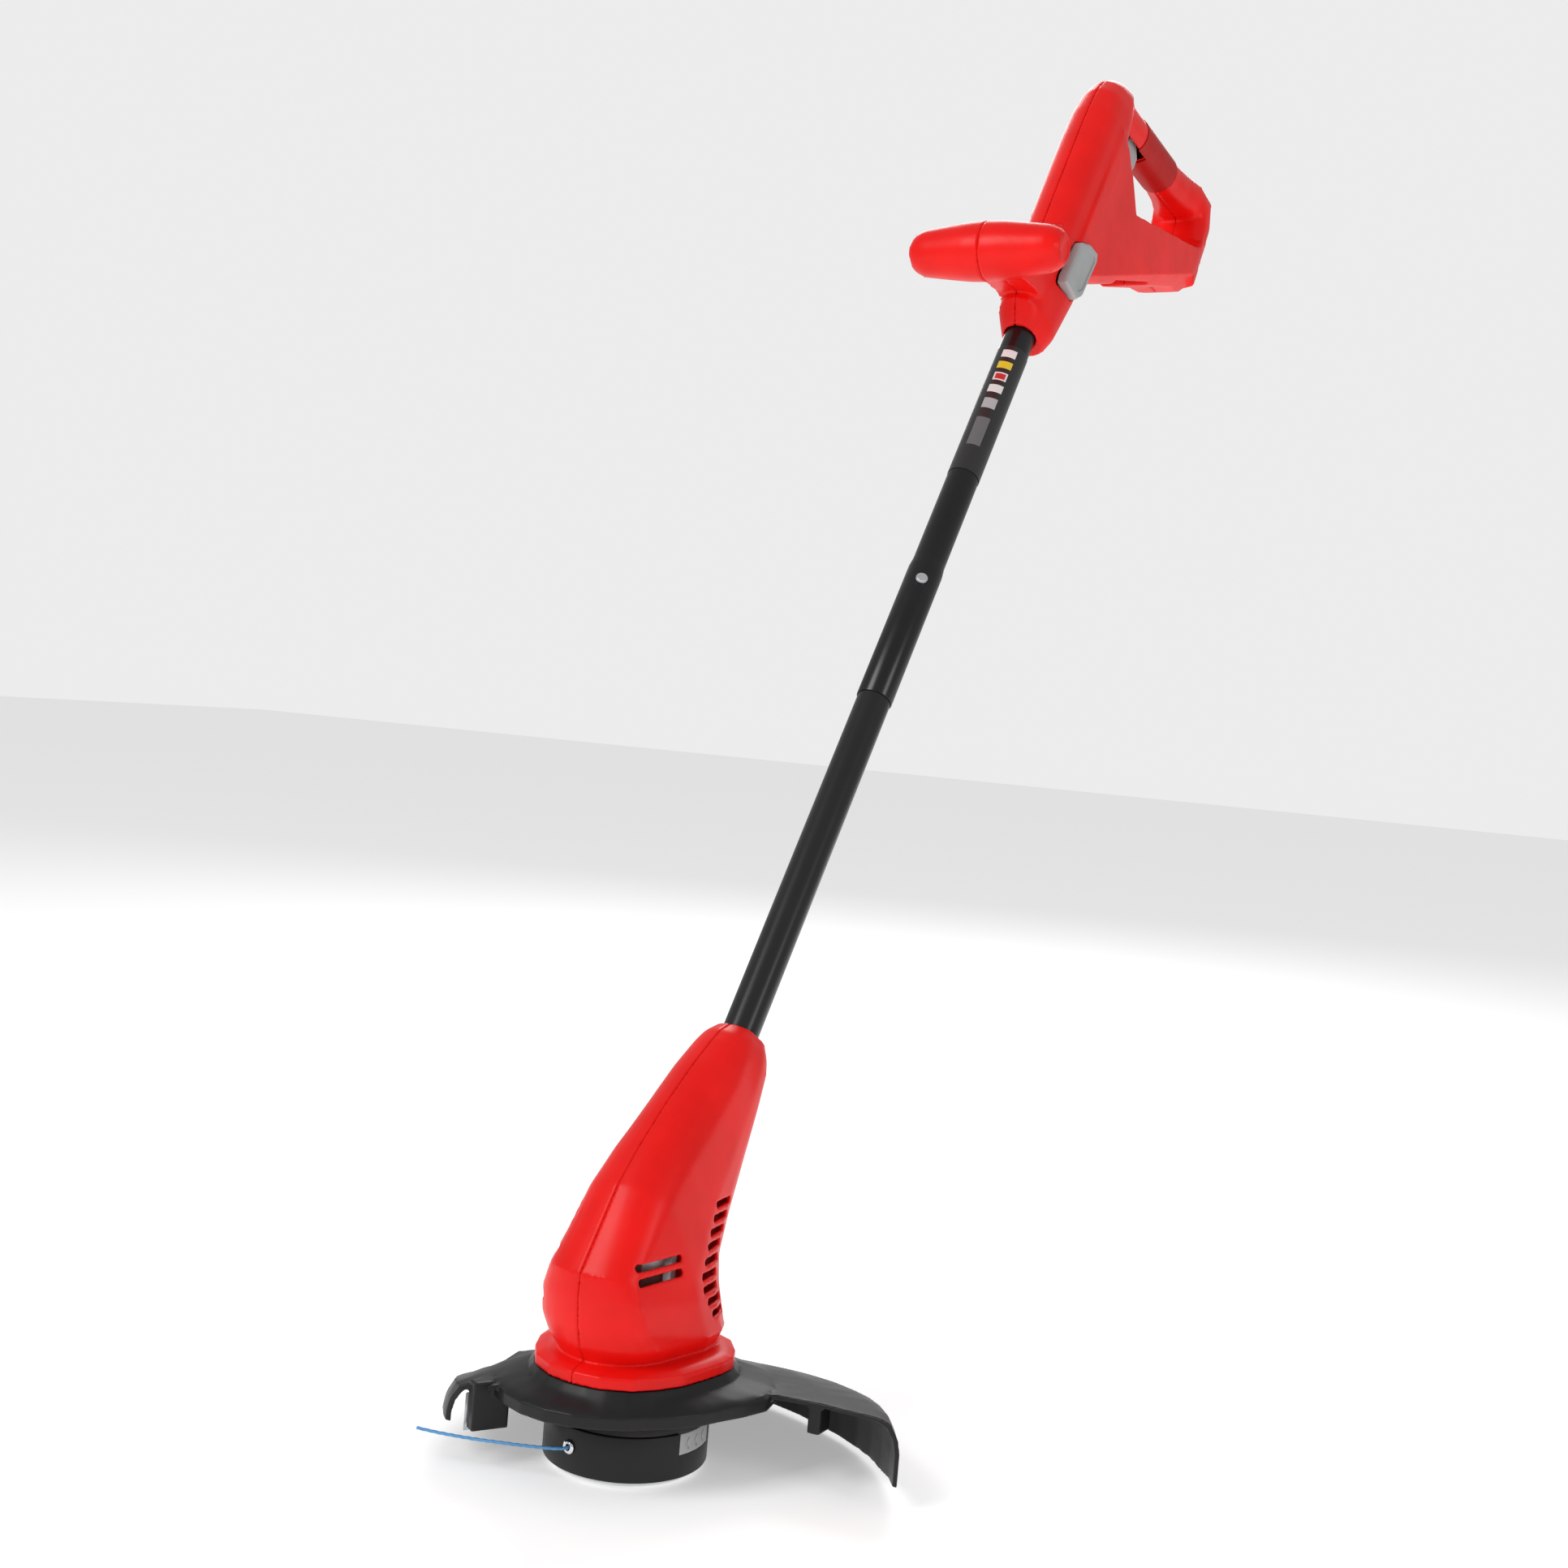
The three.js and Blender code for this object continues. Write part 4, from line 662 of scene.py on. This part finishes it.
@dataclass
class Shaft:
    """The two tubes, the label film and the chrome screw."""

    tube_radius: float = 12.0
    wall: float = 1.3
    gap: float = 0.3
    swage: float = 0.6
    steps: int = 72
    lower_from: float = 112.0
    socket_from: float = 437.4
    socket_to: float = 554.0
    top: float = 851.5
    label_from: float = 644.4
    label_to: float = 770.9
    label_lift: float = 0.15
    label_thickness: float = 0.25
    print_turn: float = math.pi * 0.40

    def build(self, nodes: dict[str, bpy.types.Object]) -> list[bpy.types.Object]:
        """Makes the shaft's pieces.

        Args:
            nodes: The frame's nodes.

        Returns:
            The pieces.
        """
        outer = self.tube_radius
        inner = outer - self.wall
        wide = outer + self.gap + self.swage
        lower = [(inner, self.lower_from), (outer, self.lower_from), (outer, self.socket_to - 6),
                 (inner, self.socket_to - 6)]
        upper = [
            (outer + self.gap, self.socket_from), (wide - 0.3, self.socket_from),
            (wide, self.socket_from + 0.6), (wide, self.socket_to - 1), (wide - 0.1, self.socket_to),
            (outer + 0.1, self.socket_to + 6), (outer, self.socket_to + 7.5), (outer, self.top),
            (inner, self.top), (inner, self.socket_to + 5), (outer + self.gap, self.socket_to - 2),
        ]
        tubes = [
            TurnedPiece("lower_tube", "head", Slot.TUBE, lower, self.steps, True).build(),
            TurnedPiece("upper_tube", "head", Slot.TUBE, upper, self.steps, True).build(),
        ]
        film = self.film()
        screw = EdgedPiece("joint_screw", "head", Slot.CHROME, width=0.3 * MM).build(nodes)
        return [*tubes, film, screw]

    def film(self) -> bpy.types.Object:
        """Makes the label film, with a UV map round it and along it.

        Returns:
            The film.
        """
        inner = self.tube_radius + self.label_lift
        outer = inner + self.label_thickness
        film = [(inner, self.label_from), (outer, self.label_from), (outer, self.label_to),
                (inner, self.label_to)]
        piece = TurnedPiece("label_film", "head", Slot.LABEL, film, self.steps, True).build()
        layer = piece.data.uv_layers.new(name="film")
        back = SHAFT_TO_WORLD.inverted()
        span = (self.label_to - self.label_from) * MM
        for polygon in piece.data.polygons:
            centre = back @ polygon.center
            middle = math.atan2(centre.y, centre.x)
            for loop in polygon.loop_indices:
                place = back @ piece.data.vertices[piece.data.loops[loop].vertex_index].co
                angle = math.atan2(place.y, place.x)
                angle += math.tau * round((middle - angle) / math.tau)
                along = (place.z - self.label_from * MM) / span
                across = (angle + self.print_turn) / math.tau + FILM.across
                layer.data[loop].uv = (across, along)
        return piece


@dataclass
class Head:
    """The motor housing, the guard and the cut-off blade."""

    voxel: float = 0.95 * MM

    def build(self, nodes: dict[str, bpy.types.Object]) -> list[bpy.types.Object]:
        """Makes the head's visible pieces.

        Args:
            nodes: The frame's nodes.

        Returns:
            The pieces.
        """
        shells = [Moulding(f"motor_housing_{side}", "head", Slot.RED, self.voxel, passes=1, seam=sign)
                  for side, sign in SIDES]
        guard = Moulding("guard", "head", Slot.BLACK, self.voxel, passes=1)
        blade = EdgedPiece("cut_off_blade", "head", Slot.STEEL, width=0.25 * MM, segments=2)
        return [part.build(nodes) for part in (*shells, guard, blade)]


@dataclass
class LineHead:
    """The spool cover, the driver's tabs, the eyelet and the bump knob."""

    cover_radius: float = 49.1
    cover_bottom: float = 4.4
    cover_top: float = 31.0
    wall: float = 2.4
    gap: float = 0.3
    knob_rise: float = 2.0
    knob_flat_radius: float = 36.0
    stem_top: float = 22.8
    stem_radius: float = 12.0
    stem_bore: float = 8.5
    stem_floor: float = 8.0
    tab_half_angle: float = 17.6
    tab_bottom: float = 18.5
    tab_clearance: float = 0.4  # degrees
    eyelet_angle: float = -98.5
    eyelet_z: float = 19.7
    eyelet_radius: float = 3.5
    cutter_depth: float = 14.0
    steps: int = 128

    def build(self, nodes: dict[str, bpy.types.Object]) -> list[bpy.types.Object]:
        """Makes the line head's visible pieces.

        Args:
            nodes: The frame's nodes.

        Returns:
            The pieces.
        """
        inner = self.cover_radius - self.wall
        outer = self.cover_radius
        low, high = self.cover_bottom, self.cover_top
        cover = [(inner, low), (outer - 1.2, low), (outer - 0.4, low + 0.35), (outer, low + 1.2),
                 (outer, high - 0.8), (outer - 0.25, high - 0.25), (outer - 0.8, high), (inner, high)]
        knob_radius = inner - self.gap
        knob_top = low + self.knob_rise
        knob = [(0, 0), (self.knob_flat_radius, 0), (40, 0.15), (43, 0.8), (45.1, 1.9),
                (knob_radius - 0.2, 3.1), (knob_radius, 4.2), (knob_radius, knob_top),
                (self.stem_radius, knob_top), (self.stem_radius, self.stem_top),
                (self.stem_bore, self.stem_top), (self.stem_bore, self.stem_floor),
                (0, self.stem_floor)]
        cutters = [self.tab_cutter(angle) for angle in (0.0, 180.0)]
        cutters.append(self.eyelet_cutter())
        return [
            TurnedPiece("spool_cover", "rotor", Slot.BLACK, cover, self.steps, cut_by=cutters).build(),
            # The knob takes the lightened grey with the painted floor reflection, not its slot's grey.
            TurnedPiece("bump_knob", "knob", Slot.GREY, knob, self.steps, finish=KNOB_GREY_WITH_PAINTED_REFLECTION).build(),
            EdgedPiece("spool_driver", "rotor", Slot.GREY, 0.25 * MM, segments=2, flat=1.0).build(nodes),
            EdgedPiece("line_eyelet", "rotor", Slot.CHROME, 0.2 * MM, segments=2, flat=1.0).build(nodes),
        ]

    def tab_cutter(self, angle: float) -> bpy.types.Object:
        """Makes the block that cuts a tab's window.

        Args:
            angle: The tab's direction, in degrees from +X.

        Returns:
            The cutter.
        """
        mesh = bmesh.new()
        half_angle = math.radians(self.tab_half_angle + self.tab_clearance)
        half = self.cover_radius * math.sin(half_angle) * MM
        height = (self.cover_top - self.tab_bottom + 4) * MM
        bmesh.ops.create_cube(mesh, size=1.0)
        bmesh.ops.scale(mesh, vec=(12 * MM, half * 2, height), verts=mesh.verts)
        place = (self.cover_radius * 0.98 * MM, 0, (self.tab_bottom - self.gap) * MM + height / 2)
        bmesh.ops.translate(mesh, vec=place, verts=mesh.verts)
        bmesh.ops.rotate(mesh, matrix=Matrix.Rotation(math.radians(angle), 3, "Z"), verts=mesh.verts)
        return new_piece(f"tab_cutter_{int(angle)}", mesh, BLACK)

    def eyelet_cutter(self) -> bpy.types.Object:
        """Makes the bar that cuts the eyelet's hole.

        Returns:
            The cutter.
        """
        mesh = bmesh.new()
        radius = self.eyelet_radius * MM
        bmesh.ops.create_cone(mesh, cap_ends=True, segments=32, radius1=radius, radius2=radius,
                              depth=self.cutter_depth * MM)
        lay = Matrix.Rotation(math.radians(self.eyelet_angle), 4, "Z") @ Matrix.Translation(
            (self.cover_radius * MM, 0, self.eyelet_z * MM)) @ Matrix.Rotation(math.pi / 2, 4, "Y")
        bmesh.ops.transform(mesh, matrix=lay, verts=mesh.verts)
        return new_piece("eyelet_cutter", mesh, BLACK)


@dataclass
class BumpSpring:
    """The compression spring inside the knob, kept at its CAD length."""

    seat: tuple[float, float, float] = (0.0, 0.0, 0.0278)
    travel: float = 5.0 * MM
    slack: float = 0.2 * MM

    def build(self, nodes: dict[str, bpy.types.Object]) -> list[bpy.types.Object]:
        """Makes the spring from its CAD node and puts it on the rotor.

        Args:
            nodes: The frame's nodes.

        Returns:
            The spring.
        """
        piece = new_piece("pressed_spring", merged_copy(nodes["bump_spring"]), STEEL)
        stand_for(piece, "bump_spring", "rotor")
        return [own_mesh(piece)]


@dataclass(frozen=True)
class Lamp:
    """A soft square lamp: its place, its side in metres and its power in watts."""

    name: str
    place: tuple[float, float, float]
    side: float
    power: float


@dataclass
class Studio:
    """The floor, the camera and the soft lights."""

    camera_at: tuple[float, float, float] = (0.6086, -0.9702, 0.4579)
    right: tuple[float, float, float] = (0.86999, 0.48611, 0.08254)
    up: tuple[float, float, float] = (-0.09265, -0.00325, 0.99569)
    back: tuple[float, float, float] = (0.48429, -0.87389, 0.04221)
    lens: float = 44.66
    sky_light: float = 0.45
    sky_seen: float = 0.84
    floor_glow: float = 0.36
    floor_half: float = 12.0
    aim: tuple[float, float, float] = (0.0, 0.35, 0.45)
    lamps: tuple[Lamp, ...] = (
        Lamp("key", (-0.9, -1.9, 2.0), 1.2, 34.0),
        Lamp("side", (2.3, -0.2, 1.1), 0.7, 8.0),
        Lamp("rear", (-0.8, 2.2, 1.9), 1.4, 26.0),
    )

    def build_camera(self) -> None:
        """Places the camera."""
        data = bpy.data.cameras.new("camera")
        data.lens = self.lens
        data.sensor_width = 36.0
        data.clip_start = 0.01
        camera = bpy.data.objects.new("camera", data)
        axes = Matrix((self.right, self.up, self.back)).transposed().to_4x4()
        camera.matrix_world = Matrix.Translation(self.camera_at) @ axes
        bpy.context.collection.objects.link(camera)
        bpy.context.scene.camera = camera

    def build_set(self) -> None:
        """Makes the floor, the world's light and the lamps."""
        mesh = bmesh.new()
        bmesh.ops.create_grid(mesh, x_segments=1, y_segments=1, size=self.floor_half)
        floor = new_piece("floor", mesh, FLOOR)
        shader = FLOOR.make().node_tree.nodes["Principled BSDF"]
        shader.inputs["Emission Color"].default_value = (1.0, 1.0, 1.0, 1.0)
        shader.inputs["Emission Strength"].default_value = self.floor_glow
        world = bpy.data.worlds.new("studio")
        world.use_nodes = True
        sky = world.node_tree.nodes["Background"]
        sky.inputs["Color"].default_value = (1.0, 1.0, 1.0, 1.0)
        seen = world.node_tree.nodes.new("ShaderNodeLightPath")
        strength = world.node_tree.nodes.new("ShaderNodeMapRange")
        strength.inputs["To Min"].default_value = self.sky_light
        strength.inputs["To Max"].default_value = self.sky_seen
        world.node_tree.links.new(seen.outputs["Is Camera Ray"], strength.inputs["Value"])
        world.node_tree.links.new(strength.outputs["Result"], sky.inputs["Strength"])
        bpy.context.scene.world = world
        bpy.context.scene.view_settings.view_transform = "Standard"
        for lamp in self.lamps:
            self.hang(lamp)

    def hang(self, lamp: Lamp) -> None:
        """Adds an area light that faces the trimmer.

        Args:
            lamp: The lamp.
        """
        data = bpy.data.lights.new(lamp.name, "AREA")
        data.size = lamp.side
        data.energy = lamp.power
        light = bpy.data.objects.new(lamp.name, data)
        light.location = lamp.place
        towards = Vector(self.aim) - Vector(lamp.place)
        light.rotation_euler = towards.to_track_quat("-Z", "Y").to_euler()
        bpy.context.collection.objects.link(light)


def dress_nodes(frame: dict) -> None:
    """Gives every CAD node that still shows its slot's finish.

    Args:
        frame: The loaded frame.
    """
    slots = {row["node"]: Slot(row["material_slot"]) for row in frame["record"]["subparts"]}
    for name, node in frame["nodes"].items():
        finish = SLOT_FINISH[slots[name]].make() if slots[name] is not Slot.LABEL else BLACK.make()
        node.data.materials.clear()
        node.data.materials.append(finish)


def main() -> None:
    """Builds the trimmer and its studio, in order."""
    logging.basicConfig(level=logging.INFO, format="%(message)s")
    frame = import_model()
    nodes = frame["nodes"]
    studio = Studio()
    studio.build_camera()
    LOG.info("cord: %s", CuttingLine().build().name)
    dress_nodes(frame)
    for part in (Handle(), Shaft(), Head(), LineHead(), BumpSpring()):
        for piece in part.build(nodes):
            LOG.info("piece: %s, %d faces", piece.name, len(piece.data.polygons))
    studio.build_set()


if __name__ == "__main__":
    main()
